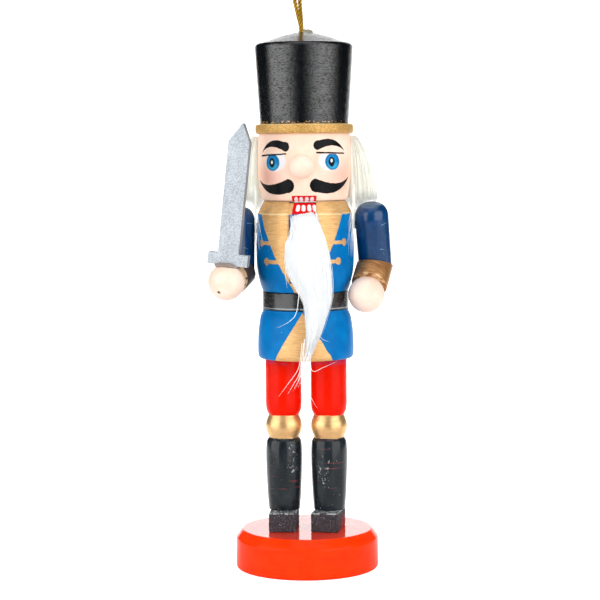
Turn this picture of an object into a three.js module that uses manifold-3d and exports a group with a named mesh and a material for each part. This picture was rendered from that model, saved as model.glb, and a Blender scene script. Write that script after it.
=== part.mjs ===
// A wooden nutcracker soldier, made as a hanging ornament that can also stand on its base.
//
// Millimetres, +Z up, the origin at the centre of the base's underside. The face looks along -Y, so the
// figure's own right hand, which holds the sword, is on the -X side.
//
// The figure is built from the base up. Each turned piece is shaped in its own frame, with its lower end
// at zero, and is then placed on the piece below it.

import * as THREE from 'three';
import { mergeVertices } from 'three/addons/utils/BufferGeometryUtils.js';
import Module from 'manifold-3d';

const wasm = await Module();
wasm.setup();

// ---------------------------------------------------------------------------------------------------
// Driving dimensions
// ---------------------------------------------------------------------------------------------------

// Fits
const PEG_GAP = 0.15; // round a glued peg in its hole
const HOLE_END_GAP = 0.3; // past the end of a peg in a blind hole
const RUNNING_GAP = 0.08; // round a pin that something turns on
const GLUE_GAP = 0.3; // between two cut faces that meet inside a tilted piece
const CUT_MARGIN = 1; // how far a cutting tool stands past the face it opens

// Base and shoes
const BASE_RADIUS = 16.7;
const BASE_HEIGHT = 9.2;
const BASE_FOOT_EDGE = 0.35;
const BASE_CHAMFER_IN = 1.5;
const BASE_CHAMFER_DOWN = 2.1;
const SHOE_WIDTH = 6.3;
const SHOE_HEIGHT = 4.5;
const SHOE_TOE = 6.9; // in front of the leg's axis
const SHOE_HEEL = 3.7; // behind it
const SHOE_EDGE = 0.3;
const RIGHT_SHOE_TURN = -1; // degrees
const LEFT_SHOE_TURN = -8;

// Legs
const LEG_APART = 10.6; // between the two axes
const BOOT_LENGTH = 17;
const BOOT_RADIUS = 4.27;
const ANKLE_RADIUS = 3.65;
const KNEE_LENGTH = 5.45;
const KNEE_RADIUS = 4.25;
const KNEE_NECK_RADIUS = 3.52;
const THIGH_LENGTH = 13.4;
const THIGH_RADIUS = 4.23;
const LEG_PEG_RADIUS = 1.2;
const LEG_PEG_DEPTH = 4.5; // into each of the pieces it joins

// Torso
const SKIRT_RADIUS = 11.2;
const SKIRT_HEM_RADIUS = 10.7;
const SKIRT_HEIGHT = 11.4;
const WAIST_RADIUS = 10;
const BELT_HEIGHT = 4;
const BELT_THICKNESS = 0.75;
const BELT_PROUD = 0.1;
const CHEST_RADIUS = 11.38;
const CHEST_HEIGHT = 17.9;
const COLLAR_RADIUS = 11.02;
const COLLAR_TOP_RADIUS = 9.55;
const COLLAR_HEIGHT = 3;

// Jaw lever
const LEVER_WIDTH = 6.5;
const LEVER_SIDE_GAP = 0.15;
const LEVER_HEAD_GAP = 0.3;
const JAW_LENGTH = 15.4; // down the lever's front
const SLOT_FLOOR_GAP = 3; // room under the lever when the mouth opens
const JAW_PIN_RADIUS = 0.8;
const JAW_PIN_DROP = 10.8; // below the neck
const JAW_PIN_INSET = 0.8; // each end lies this far under the torso's side
const LEVER_ARM_TOP = 6.2; // above the pin, where the arm leaves the slot
const LEVER_ARM_BOTTOM = 3.8; // below the pin
const HANDLE_GAP = 0.9;
const HANDLE_THICKNESS = 2.9;

// Head and nose
const HEAD_RADIUS = 10.9;
const HEAD_HEIGHT = 15.5;
const CHIN_UNDERCUT = 1.4; // how much narrower the head is where it meets the neck
const NECK_PEG_RADIUS = 1.5;
const NECK_PEG_DEPTH = 4.7;
const NOSE_RADIUS = 2.75;
const NOSE_STANDS_OUT = 1.3; // the ball's centre, past the head's surface
const NOSE_ABOVE_NECK = 8;
const NOSE_PEG_RADIUS = 0.8;
const NOSE_PEG_DEPTH = 2.6;

// Hat and cord
const BRIM_RADIUS = 11.37;
const BRIM_HEIGHT = 2.2;
const BRIM_EDGE = 0.45;
const CROWN_FOOT_RADIUS = 10.3;
const CROWN_TOP_RADIUS = 11.36;
const CROWN_WALL_HEIGHT = 17.6;
const CROWN_RIM = 1;
const CROWN_DOME_HEIGHT = 2.8;
const HAT_PEG_RADIUS = 1.5;
const HAT_PEG_DEPTH = 4.5;
const CORD_RADIUS = 0.5;
const CORD_HOLE_RADIUS = 1.6;
const CORD_HOLE_DEPTH = 6;

// Arms
const SHOULDER_GAP = 0.35;
const SLEEVE_RADIUS = 3.93;
const SLEEVE_TOP = 4.7; // above the shoulder peg
const SLEEVE_FLAT_RADIUS = 2.15;
const SLEEVE_DOME = 3;
const UPPER_ARM = 10.2; // shoulder peg to elbow
const ELBOW_BEND = 68; // degrees
const CUFF_RADIUS = 4.2;
const CUFF_LENGTH = 7; // elbow to the cuff's end
const HAND_RADIUS = 4.2;
const HAND_FROM_ELBOW = 10.2;
const HAND_TENON_RADIUS = 1.5;
const HAND_TENON_DEPTH = 3;
const SHOULDER_PEG_RADIUS = 1.2;
const SHOULDER_PEG_IN_TORSO = 2.8;
const SHOULDER_PEG_IN_SLEEVE = 5.4; // measured from the sleeve's inner side
const RIGHT_ARM = { side: -1, belowNeck: 6.3, pitch: -11.5, lean: 0, twist: -10.5 };
const LEFT_ARM = { side: 1, belowNeck: 5.4, pitch: 18, lean: -3.2, twist: -13 };

// Sword
const SWORD_THICKNESS = 2;
const BLADE_WIDTH = 5;
const BLADE_LENGTH = 25.4; // guard to the start of the point
const POINT_LENGTH = 4.3;
const GUARD_WIDTH = 9.5;
const GUARD_HEIGHT = 2.75;
const TANG_WIDTH = 3.2;
const TANG_LENGTH = 4;
const GUARD_ABOVE_HAND = 3.9; // the guard's underside, over the hand's centre
const SWORD_TILT = 6.4; // degrees, the point leaning in towards the hat
const SWORD_TURN = -10.5;

// Hair
const WIG_GAP = 0.25;
const WIG_TOP_THICKNESS = 0.7;
const WIG_THICKNESS = 5.8;
const WIG_BOTTOM = 0.7; // above the neck
const WIG_FRONT = -1.4; // the hair starts this far from the head's middle, towards the face
const BEARD_GAP = 0.35;
const BEARD_TOP_DROP = 3.2; // below the neck
const BEARD_LENGTH = 39;
const BEARD_HALF_WIDTH = 4.1;
const BEARD_HALF_DEPTH = 1.45;
const BEARD_ASIDE = 1.2; // the tuft hangs this far towards the figure's left

// Facets
const BODY_FACETS = 36;
const LIMB_FACETS = 24;
const PEG_FACETS = 12;

// ---------------------------------------------------------------------------------------------------
// Levels and places worked out from the dimensions
// ---------------------------------------------------------------------------------------------------

const SHOE_TOP = BASE_HEIGHT + SHOE_HEIGHT;
const LEG_LENGTH = BOOT_LENGTH + KNEE_LENGTH + THIGH_LENGTH;
const HIP = SHOE_TOP + LEG_LENGTH;
const BELT_GROOVE = BELT_HEIGHT + 2 * PEG_GAP;
const TORSO_HEIGHT = SKIRT_HEIGHT + BELT_GROOVE + CHEST_HEIGHT + COLLAR_HEIGHT;
const NECK = HIP + TORSO_HEIGHT;
const HEAD_TOP = NECK + HEAD_HEIGHT;
const BRIM_TOP = HEAD_TOP + BRIM_HEIGHT;
const HAT_TOP = BRIM_TOP + CROWN_WALL_HEIGHT + CROWN_RIM + CROWN_DOME_HEIGHT;
const BODY_REACH = Math.max(CHEST_RADIUS, SKIRT_RADIUS);
const SLOT_WIDTH = LEVER_WIDTH + 2 * LEVER_SIDE_GAP;
const CHIN_RADIUS = HEAD_RADIUS - CHIN_UNDERCUT;
const NECK_PEG_X = (SLOT_WIDTH / 2 + CHIN_RADIUS) / 2; // midway between the jaw slot and the neck's edge

// ---------------------------------------------------------------------------------------------------
// Finishes
// ---------------------------------------------------------------------------------------------------

function finish(color, roughness, metalness = 0) {
  return new THREE.MeshStandardMaterial({ color, roughness, metalness });
}

const FINISH = {
  redPaint: finish(0xf03a16, 0.3),
  blackRough: finish(0x1c1e20, 0.75),
  bootPaint: finish(0x343a3e, 0.45),
  coatPaint: finish(0x0069b9, 0.35),
  sleevePaint: finish(0x113c73, 0.3),
  goldPaint: finish(0xcfa060, 0.4, 0.6),
  silverPaint: finish(0xb9bec6, 0.5, 0.6),
  hatPaint: finish(0x101214, 0.25),
  skinPaint: finish(0xfad7be, 0.4),
  beltStrip: finish(0x191c1c, 0.3),
  bareWood: finish(0xd9b98a, 0.7),
  steelWire: finish(0x9a9da1, 0.35, 1),
  whiteFur: finish(0xf0f3f8, 0.9),
  creamFur: finish(0xe6e0d2, 0.9),
  goldCord: finish(0xc9a040, 0.35, 0.8),
};

// ---------------------------------------------------------------------------------------------------
// Making solids
// ---------------------------------------------------------------------------------------------------

// A closed three.js geometry as a solid that can be cut and joined.
function solid(geometry) {
  const bare = geometry.clone();
  bare.deleteAttribute('normal');
  bare.deleteAttribute('uv');
  const merged = mergeVertices(bare);
  const corners = Array.from(merged.index.array);
  const triVerts = [];
  for (let i = 0; i < corners.length; i += 3) {
    const [a, b, c] = corners.slice(i, i + 3);
    if (a !== b && b !== c && c !== a) triVerts.push(a, b, c);
  }
  return new wasm.Manifold(
    new wasm.Mesh({
      numProp: 3,
      vertProperties: new Float32Array(merged.attributes.position.array),
      triVerts: new Uint32Array(triVerts),
    }),
  );
}

function geometryOf(shape) {
  const mesh = shape.getMesh();
  const geometry = new THREE.BufferGeometry();
  geometry.setAttribute('position', new THREE.BufferAttribute(new Float32Array(mesh.vertProperties), 3));
  geometry.setIndex(new THREE.BufferAttribute(new Uint32Array(mesh.triVerts), 1));
  geometry.computeVertexNormals();
  return geometry;
}

// A piece turned about Z. The profile is [radius, height] pairs, going up, or once round anticlockwise.
function turned(profile, facets = BODY_FACETS) {
  const outline = profile.map(([radius, height]) => new THREE.Vector2(radius, height));
  return solid(new THREE.LatheGeometry(outline, facets).rotateX(Math.PI / 2));
}

function ring(innerRadius, outerRadius, height, facets = BODY_FACETS) {
  return turned(
    [
      [innerRadius, 0],
      [outerRadius, 0],
      [outerRadius, height],
      [innerRadius, height],
      [innerRadius, 0],
    ],
    facets,
  );
}

// A round bar along Z from one height to another, about the point x, y.
function upright(radius, from, to, x = 0, y = 0, facets = PEG_FACETS) {
  const bar = new THREE.CylinderGeometry(radius, radius, to - from, facets);
  return solid(bar.rotateX(Math.PI / 2).translate(x, y, (from + to) / 2));
}

// A round bar along X, about the point y, z.
function crosswise(radius, from, to, y = 0, z = 0, facets = PEG_FACETS) {
  const bar = new THREE.CylinderGeometry(radius, radius, to - from, facets);
  return solid(bar.rotateZ(Math.PI / 2).translate((from + to) / 2, y, z));
}

// A round bar along Y, about the point x, z.
function foreAndAft(radius, from, to, x = 0, z = 0, facets = PEG_FACETS) {
  const bar = new THREE.CylinderGeometry(radius, radius, to - from, facets);
  return solid(bar.translate(x, (from + to) / 2, z));
}

function block(low, high) {
  const [x, y, z] = low.map((value, axis) => high[axis] - value);
  const middle = low.map((value, axis) => (value + high[axis]) / 2);
  return solid(new THREE.BoxGeometry(x, y, z).translate(...middle));
}

// Points of an arc in a turned profile, in degrees from the +radius direction towards +height.
function arc(radius, height, size, from, to, steps) {
  const points = [];
  for (let i = 0; i <= steps; i += 1) {
    const angle = THREE.MathUtils.degToRad(from + ((to - from) * i) / steps);
    points.push([radius + size * Math.cos(angle), height + size * Math.sin(angle)]);
  }
  return points;
}

// A smooth stretch of profile through the given [radius, height] pairs.
function smooth(points, steps) {
  const curve = new THREE.SplineCurve(points.map(([radius, height]) => new THREE.Vector2(radius, height)));
  return curve.getPoints(steps).map((point) => [point.x, point.y]);
}

const figure = new THREE.Group();

function addPiece(name, shape, material, height = 0) {
  const mesh = new THREE.Mesh(geometryOf(shape), material);
  mesh.name = name;
  mesh.position.z = height;
  figure.add(mesh);
  return mesh;
}

const SIDES = [
  { name: 'right', sign: -1, shoeTurn: RIGHT_SHOE_TURN, arm: RIGHT_ARM },
  { name: 'left', sign: 1, shoeTurn: LEFT_SHOE_TURN, arm: LEFT_ARM },
];

// ---------------------------------------------------------------------------------------------------
// Base
// ---------------------------------------------------------------------------------------------------

function baseDisc() {
  let disc = turned([
    [0, 0],
    [BASE_RADIUS - BASE_FOOT_EDGE, 0],
    [BASE_RADIUS, BASE_FOOT_EDGE],
    [BASE_RADIUS, BASE_HEIGHT - BASE_CHAMFER_DOWN],
    [BASE_RADIUS - BASE_CHAMFER_IN, BASE_HEIGHT],
    [0, BASE_HEIGHT],
  ]);
  for (const { sign } of SIDES) {
    const floor = BASE_HEIGHT - LEG_PEG_DEPTH - HOLE_END_GAP;
    const x = (sign * LEG_APART) / 2;
    disc = disc.subtract(upright(LEG_PEG_RADIUS + PEG_GAP, floor, BASE_HEIGHT + CUT_MARGIN, x));
  }
  return disc;
}

addPiece('base_disc', baseDisc(), FINISH.redPaint);

// ---------------------------------------------------------------------------------------------------
// Legs, shoes and their pegs
// ---------------------------------------------------------------------------------------------------

// A rectangular block with small chamfers round its top, drilled through for the foot peg.
function shoe() {
  const half = SHOE_WIDTH / 2;
  const section = new THREE.Shape([
    new THREE.Vector2(-half, 0),
    new THREE.Vector2(half, 0),
    new THREE.Vector2(half, SHOE_HEIGHT - SHOE_EDGE),
    new THREE.Vector2(half - SHOE_EDGE, SHOE_HEIGHT),
    new THREE.Vector2(SHOE_EDGE - half, SHOE_HEIGHT),
    new THREE.Vector2(-half, SHOE_HEIGHT - SHOE_EDGE),
  ]);
  const depth = SHOE_TOE + SHOE_HEEL;
  const bar = new THREE.ExtrudeGeometry(section, { depth, bevelEnabled: false });
  const body = solid(bar.rotateX(Math.PI / 2).translate(0, SHOE_HEEL, 0));
  return body.subtract(upright(LEG_PEG_RADIUS + PEG_GAP, -CUT_MARGIN, SHOE_HEIGHT + CUT_MARGIN));
}

// Boot, knee bead and thigh are turned in one length of dowel.
function leg() {
  const kneeFoot = BOOT_LENGTH;
  const kneeTop = kneeFoot + KNEE_LENGTH;
  const boot = smooth(
    [
      [ANKLE_RADIUS, 0],
      [(ANKLE_RADIUS + BOOT_RADIUS) / 2, BOOT_LENGTH * 0.22],
      [BOOT_RADIUS, BOOT_LENGTH * 0.68],
      [BOOT_RADIUS - 0.12, BOOT_LENGTH * 0.92],
      [KNEE_NECK_RADIUS + 0.05, kneeFoot],
    ],
    9,
  );
  const bead = smooth(
    [
      [KNEE_NECK_RADIUS, kneeFoot + 0.1],
      [KNEE_RADIUS - 0.15, kneeFoot + KNEE_LENGTH * 0.3],
      [KNEE_RADIUS, kneeFoot + KNEE_LENGTH / 2],
      [KNEE_RADIUS - 0.15, kneeFoot + KNEE_LENGTH * 0.7],
      [KNEE_NECK_RADIUS, kneeTop - 0.1],
    ],
    8,
  );
  const thigh = smooth(
    [
      [KNEE_NECK_RADIUS + 0.05, kneeTop],
      [THIGH_RADIUS - 0.2, kneeTop + 1],
      [THIGH_RADIUS, kneeTop + 2.6],
      [THIGH_RADIUS, LEG_LENGTH],
    ],
    6,
  );
  const dowel = turned([[0, 0], ...boot, ...bead, ...thigh, [0, LEG_LENGTH]], LIMB_FACETS);
  const hole = LEG_PEG_RADIUS + PEG_GAP;
  const depth = LEG_PEG_DEPTH + HOLE_END_GAP;
  return dowel
    .subtract(upright(hole, -CUT_MARGIN, depth))
    .subtract(upright(hole, LEG_LENGTH - depth, LEG_LENGTH + CUT_MARGIN));
}

for (const { name, sign, shoeTurn } of SIDES) {
  const x = (sign * LEG_APART) / 2;
  const shoeMesh = addPiece(`${name}_shoe`, shoe(), FINISH.blackRough, BASE_HEIGHT);
  shoeMesh.rotation.z = THREE.MathUtils.degToRad(shoeTurn);
  const legMesh = addPiece(`${name}_leg`, leg(), FINISH.bootPaint, SHOE_TOP);
  const footPeg = upright(LEG_PEG_RADIUS, -SHOE_HEIGHT - LEG_PEG_DEPTH, LEG_PEG_DEPTH);
  const footMesh = addPiece(`${name}_foot_dowel`, footPeg, FINISH.bareWood, SHOE_TOP);
  const hipPeg = upright(LEG_PEG_RADIUS, -LEG_PEG_DEPTH, LEG_PEG_DEPTH);
  const hipMesh = addPiece(`${name}_hip_dowel`, hipPeg, FINISH.bareWood, HIP);
  for (const mesh of [shoeMesh, legMesh, footMesh, hipMesh]) mesh.position.x = x;
}

// ---------------------------------------------------------------------------------------------------
// Torso and belt
// ---------------------------------------------------------------------------------------------------

const BELT_FOOT = SKIRT_HEIGHT;
const BELT_OUTER_RADIUS = WAIST_RADIUS + BELT_PROUD;
const BELT_INNER_RADIUS = BELT_OUTER_RADIUS - BELT_THICKNESS;
const GROOVE_RADIUS = BELT_INNER_RADIUS - PEG_GAP;
const CHEST_FOOT = BELT_FOOT + BELT_GROOVE;
const COLLAR_FOOT = CHEST_FOOT + CHEST_HEIGHT;
const SLOT_FLOOR = TORSO_HEIGHT - LEVER_HEAD_GAP - JAW_LENGTH - SLOT_FLOOR_GAP;
const JAW_PIN_LEVEL = TORSO_HEIGHT - JAW_PIN_DROP;

function torso() {
  const skirt = smooth(
    [
      [SKIRT_HEM_RADIUS, 0],
      [SKIRT_RADIUS - 0.08, 0.7],
      [SKIRT_RADIUS, 2.9],
      [SKIRT_RADIUS - 0.15, 6.3],
      [(SKIRT_RADIUS + WAIST_RADIUS) / 2, SKIRT_HEIGHT - 1.9],
      [WAIST_RADIUS, SKIRT_HEIGHT - 0.5],
      [WAIST_RADIUS, SKIRT_HEIGHT],
    ],
    10,
  );
  const chest = smooth(
    [
      [WAIST_RADIUS - 0.05, CHEST_FOOT],
      [(CHEST_RADIUS + WAIST_RADIUS) / 2, CHEST_FOOT + 2.3],
      [CHEST_RADIUS - 0.1, CHEST_FOOT + 5.6],
      [CHEST_RADIUS, CHEST_FOOT + 9.8],
      [CHEST_RADIUS - 0.12, CHEST_FOOT + 14],
      [COLLAR_RADIUS, COLLAR_FOOT],
    ],
    11,
  );
  const profile = [
    [0, 0],
    ...skirt,
    [GROOVE_RADIUS, BELT_FOOT],
    [GROOVE_RADIUS, CHEST_FOOT],
    ...chest,
    [COLLAR_TOP_RADIUS, TORSO_HEIGHT],
    [0, TORSO_HEIGHT],
  ];
  const reach = BODY_REACH + CUT_MARGIN;
  const top = TORSO_HEIGHT + CUT_MARGIN;
  let body = turned(profile)
    .subtract(block([-SLOT_WIDTH / 2, -reach, SLOT_FLOOR], [SLOT_WIDTH / 2, reach, top]))
    .subtract(crosswise(JAW_PIN_RADIUS + PEG_GAP, -reach, reach, 0, JAW_PIN_LEVEL));
  for (const { sign, arm } of SIDES) {
    const hip = upright(LEG_PEG_RADIUS + PEG_GAP, -CUT_MARGIN, LEG_PEG_DEPTH + HOLE_END_GAP);
    const neckFloor = TORSO_HEIGHT - NECK_PEG_DEPTH - HOLE_END_GAP;
    const neck = upright(NECK_PEG_RADIUS + PEG_GAP, neckFloor, top);
    const inner = CHEST_RADIUS - SHOULDER_PEG_IN_TORSO - HOLE_END_GAP;
    const shoulder = crosswise(SHOULDER_PEG_RADIUS + PEG_GAP, inner, reach);
    body = body
      .subtract(hip.translate([(sign * LEG_APART) / 2, 0, 0]))
      .subtract(neck.translate([sign * NECK_PEG_X, 0, 0]))
      .subtract(shoulder.scale([sign, 1, 1]).translate([0, 0, TORSO_HEIGHT - arm.belowNeck]));
  }
  return body;
}

addPiece('torso', torso(), FINISH.coatPaint, HIP);
const belt = ring(BELT_INNER_RADIUS, BELT_OUTER_RADIUS, BELT_HEIGHT);
addPiece('waist_belt', belt, FINISH.beltStrip, HIP + BELT_FOOT + PEG_GAP);

// ---------------------------------------------------------------------------------------------------
// Jaw lever, its pin and the beard
// ---------------------------------------------------------------------------------------------------

// The lever's side view, as Y and height above the pin. Its front is turned with the torso, its middle
// passes through the slot, and its handle hangs down the figure's back to the hem.
function leverOutline() {
  const top = JAW_PIN_DROP - LEVER_HEAD_GAP;
  const jawFoot = top - JAW_LENGTH;
  const front = -CHEST_RADIUS + 0.4;
  const lip = -COLLAR_TOP_RADIUS + 0.4;
  const collarFoot = JAW_PIN_DROP - COLLAR_HEIGHT;
  const inside = BODY_REACH + HANDLE_GAP;
  const outside = inside + HANDLE_THICKNESS;
  const hem = JAW_PIN_DROP - TORSO_HEIGHT;
  return new THREE.Shape(
    [
      [front + 1.5, jawFoot],
      [front, jawFoot + 1.5],
      [front, collarFoot],
      [lip, top],
      [lip + 5, top],
      [0.4, LEVER_ARM_TOP],
      [inside, LEVER_ARM_TOP - 1.6],
      [outside - 1, LEVER_ARM_TOP - 2.2],
      [outside - 0.2, LEVER_ARM_TOP - 3.6],
      [outside + 0.3, hem + 1.6],
      [outside - 0.3, hem],
      [inside + 0.6, hem],
      [inside, hem + 1.2],
      [inside, -LEVER_ARM_BOTTOM],
      [CHEST_RADIUS - 3, -LEVER_ARM_BOTTOM - 0.6],
    ].map(([y, z]) => new THREE.Vector2(y, z)),
  );
}

function jawLever() {
  const across = new THREE.Matrix4().makeBasis(
    new THREE.Vector3(0, 1, 0),
    new THREE.Vector3(0, 0, 1),
    new THREE.Vector3(1, 0, 0),
  );
  const plate = new THREE.ExtrudeGeometry(leverOutline(), { depth: LEVER_WIDTH, bevelEnabled: false });
  const body = solid(plate.applyMatrix4(across).translate(-LEVER_WIDTH / 2, 0, 0));
  return body.subtract(crosswise(JAW_PIN_RADIUS + RUNNING_GAP, -LEVER_WIDTH, LEVER_WIDTH));
}

addPiece('jaw_lever', jawLever(), FINISH.coatPaint, NECK - JAW_PIN_DROP);
const jawPinEnd = CHEST_RADIUS - JAW_PIN_INSET;
const jawPin = crosswise(JAW_PIN_RADIUS, -jawPinEnd, jawPinEnd);
addPiece('jaw_pin', jawPin, FINISH.steelWire, NECK - JAW_PIN_DROP);

// The space that the beard fills: a flat tapering tuft in front of the chest, belt and skirt.
function beard() {
  const outline = smooth(
    [
      [0, 0],
      [BEARD_HALF_WIDTH * 0.3, 1],
      [BEARD_HALF_WIDTH * 0.38, BEARD_LENGTH * 0.25],
      [BEARD_HALF_WIDTH, BEARD_LENGTH * 0.55],
      [BEARD_HALF_WIDTH * 0.85, BEARD_LENGTH - 2],
      [BEARD_HALF_WIDTH * 0.6, BEARD_LENGTH],
    ],
    9,
  );
  const tuft = turned([...outline, [0, BEARD_LENGTH]], 20);
  const flat = tuft.scale([1, BEARD_HALF_DEPTH / BEARD_HALF_WIDTH, 1]);
  return flat.translate([BEARD_ASIDE, -BODY_REACH - BEARD_GAP - BEARD_HALF_DEPTH, 0]);
}

addPiece('beard', beard(), FINISH.whiteFur, NECK - BEARD_TOP_DROP - BEARD_LENGTH);

// ---------------------------------------------------------------------------------------------------
// Head, nose and wig
// ---------------------------------------------------------------------------------------------------

function head() {
  const side = smooth(
    [
      [CHIN_RADIUS, 0],
      [CHIN_RADIUS + 0.55, 0.7],
      [HEAD_RADIUS - 0.5, 2.6],
      [HEAD_RADIUS - 0.1, 5.4],
      [HEAD_RADIUS, HEAD_HEIGHT * 0.56],
      [HEAD_RADIUS - 0.1, HEAD_HEIGHT - 1.4],
      [HEAD_RADIUS - 0.4, HEAD_HEIGHT],
    ],
    11,
  );
  const hatFloor = HEAD_HEIGHT - HAT_PEG_DEPTH - HOLE_END_GAP;
  const hatHole = upright(HAT_PEG_RADIUS + PEG_GAP, hatFloor, HEAD_HEIGHT + CUT_MARGIN);
  const noseHoleRadius = NOSE_PEG_RADIUS + PEG_GAP;
  const noseHoleEnd = NOSE_PEG_DEPTH + HOLE_END_GAP - HEAD_RADIUS;
  const noseHole = foreAndAft(noseHoleRadius, -HEAD_RADIUS - CUT_MARGIN, noseHoleEnd, 0, NOSE_ABOVE_NECK);
  let body = turned([[0, 0], ...side, [0, HEAD_HEIGHT]]).subtract(hatHole).subtract(noseHole);
  for (const { sign } of SIDES) {
    const depth = NECK_PEG_DEPTH + HOLE_END_GAP;
    const hole = upright(NECK_PEG_RADIUS + PEG_GAP, -CUT_MARGIN, depth, sign * NECK_PEG_X);
    body = body.subtract(hole);
  }
  return body;
}

// A small ball, hollowed at the back to sit on the round of the head, with a peg.
function nose() {
  const centre = -HEAD_RADIUS - NOSE_STANDS_OUT;
  const ball = solid(new THREE.SphereGeometry(NOSE_RADIUS, 18, 12).translate(0, centre, 0));
  const cheek = upright(HEAD_RADIUS + GLUE_GAP, -NOSE_RADIUS - 1, NOSE_RADIUS + 1, 0, 0, BODY_FACETS);
  const peg = foreAndAft(NOSE_PEG_RADIUS, centre, NOSE_PEG_DEPTH - HEAD_RADIUS);
  return ball.subtract(cheek).add(peg);
}

// The space that the hair fills, round the back and sides of the head under the brim.
function wig() {
  const inner = HEAD_RADIUS + WIG_GAP;
  const height = HEAD_HEIGHT - WIG_BOTTOM - WIG_GAP;
  const outer = smooth(
    [
      [inner + WIG_THICKNESS, 0],
      [inner + WIG_THICKNESS, height * 0.22],
      [inner + WIG_THICKNESS * 0.88, height * 0.5],
      [inner + WIG_THICKNESS * 0.62, height * 0.76],
      [inner + WIG_TOP_THICKNESS, height],
    ],
    8,
  );
  const hair = turned([[inner, 0], ...outer, [inner, height], [inner, 0]]);
  const reach = inner + WIG_THICKNESS + CUT_MARGIN;
  return hair.subtract(block([-reach, -reach, -CUT_MARGIN], [reach, WIG_FRONT, height + CUT_MARGIN]));
}

addPiece('head', head(), FINISH.skinPaint, NECK);
addPiece('nose', nose(), FINISH.skinPaint, NECK + NOSE_ABOVE_NECK);
addPiece('wig', wig(), FINISH.creamFur, NECK + WIG_BOTTOM);

for (const { name, sign } of SIDES) {
  const peg = upright(NECK_PEG_RADIUS, -NECK_PEG_DEPTH, NECK_PEG_DEPTH);
  const mesh = addPiece(`${name}_neck_dowel`, peg, FINISH.bareWood, NECK);
  mesh.position.x = sign * NECK_PEG_X;
}

// ---------------------------------------------------------------------------------------------------
// Hat
// ---------------------------------------------------------------------------------------------------

function hatBrim() {
  const hole = HAT_PEG_RADIUS + PEG_GAP;
  return turned([
    [hole, 0],
    ...arc(BRIM_RADIUS - BRIM_EDGE, BRIM_EDGE, BRIM_EDGE, -90, 0, 2),
    ...arc(BRIM_RADIUS - BRIM_EDGE, BRIM_HEIGHT - BRIM_EDGE, BRIM_EDGE, 0, 90, 2),
    [hole, BRIM_HEIGHT],
    [hole, 0],
  ]);
}

// A tall drum, wider at the top, under a shallow cone. The cord's hole is bored down from its tip.
function hatCrown() {
  const rimFoot = CROWN_WALL_HEIGHT;
  const rimRadius = CROWN_TOP_RADIUS - CROWN_RIM;
  const rimTop = rimFoot + CROWN_RIM;
  const tip = rimTop + CROWN_DOME_HEIGHT;
  const dome = smooth(
    [
      [rimRadius, rimTop],
      [rimRadius * 0.55, rimTop + CROWN_DOME_HEIGHT * 0.62],
      [0, tip],
    ],
    6,
  );
  const rim = arc(rimRadius, rimFoot, CROWN_RIM, 0, 75, 4);
  const drum = turned([[0, 0], [CROWN_FOOT_RADIUS, 0], ...rim, ...dome]);
  return drum
    .subtract(upright(HAT_PEG_RADIUS + PEG_GAP, -CUT_MARGIN, HAT_PEG_DEPTH + HOLE_END_GAP))
    .subtract(upright(CORD_HOLE_RADIUS, tip - CORD_HOLE_DEPTH, tip + CUT_MARGIN));
}

addPiece('hat_brim', hatBrim(), FINISH.goldPaint, HEAD_TOP);
addPiece('hat_crown', hatCrown(), FINISH.hatPaint, BRIM_TOP);
const hatPeg = upright(HAT_PEG_RADIUS, -HAT_PEG_DEPTH, BRIM_HEIGHT + HAT_PEG_DEPTH);
addPiece('hat_dowel', hatPeg, FINISH.bareWood, HEAD_TOP);

// ---------------------------------------------------------------------------------------------------
// Hanging cord
// ---------------------------------------------------------------------------------------------------

// One length of cord, folded into a loop, with both ends down the hole in the hat. The two strands stand
// one behind the other in the hole and open side by side above it, leaning a little to the right hand.
// Each point is x and y, and its height above the tip of the hat.
const CORD_ROUTE = [
  [-0.5, -0.62, -5],
  [-0.5, -0.62, -2],
  [-0.62, -0.62, 1],
  [-1.2, -0.5, 3.5],
  [-2, -0.3, 7],
  [-2.9, -0.12, 12],
  [-4, 0, 18],
  [-5.4, 0, 25],
  [-6.6, 0, 31],
  [-6.9, 0, 35],
  [-6.1, 0, 38.4],
  [-4.2, 0, 40],
  [-2.3, 0, 38.6],
  [-1.2, 0, 35],
  [-1, 0, 31],
  [-1.15, 0, 25],
  [-1.25, 0, 18],
  [-1.15, 0.12, 12],
  [-0.85, 0.3, 7],
  [-0.62, 0.5, 3.5],
  [-0.5, 0.62, 1],
  [-0.5, 0.62, -2],
  [-0.5, 0.62, -5],
];
const CORD_STEPS = 38;
const CORD_SIDES = 8;

function hangingCord() {
  const route = new THREE.CatmullRomCurve3(CORD_ROUTE.map(([x, y, z]) => new THREE.Vector3(x, y, z)));
  const section = new THREE.Shape();
  section.absarc(0, 0, CORD_RADIUS, 0, 2 * Math.PI);
  const outline = new THREE.Shape(section.getSpacedPoints(CORD_SIDES).slice(0, CORD_SIDES));
  return solid(new THREE.ExtrudeGeometry(outline, { steps: CORD_STEPS, extrudePath: route }));
}

addPiece('hanging_cord', hangingCord(), FINISH.goldCord, HAT_TOP);

// ---------------------------------------------------------------------------------------------------
// Arms
// ---------------------------------------------------------------------------------------------------

// An arm is shaped straight, with the shoulder peg at the origin, the sleeve along -Z and the forearm
// bent forward at the elbow. Its resting pose then twists it about the sleeve, leans it sideways and
// pitches it about the peg.
const ELBOW = new THREE.Vector3(0, 0, -UPPER_ARM);
const BEND = THREE.MathUtils.degToRad(ELBOW_BEND);
const ARM_REACH = UPPER_ARM + HAND_FROM_ELBOW + HAND_RADIUS;

function restingPose(arm) {
  const { degToRad } = THREE.MathUtils;
  const angles = new THREE.Euler(degToRad(arm.pitch), degToRad(arm.lean), degToRad(arm.twist), 'XYZ');
  return new THREE.Matrix4().makeRotationFromEuler(angles);
}

function moved(shape, matrix) {
  return shape.transform(matrix.toArray());
}

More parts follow.
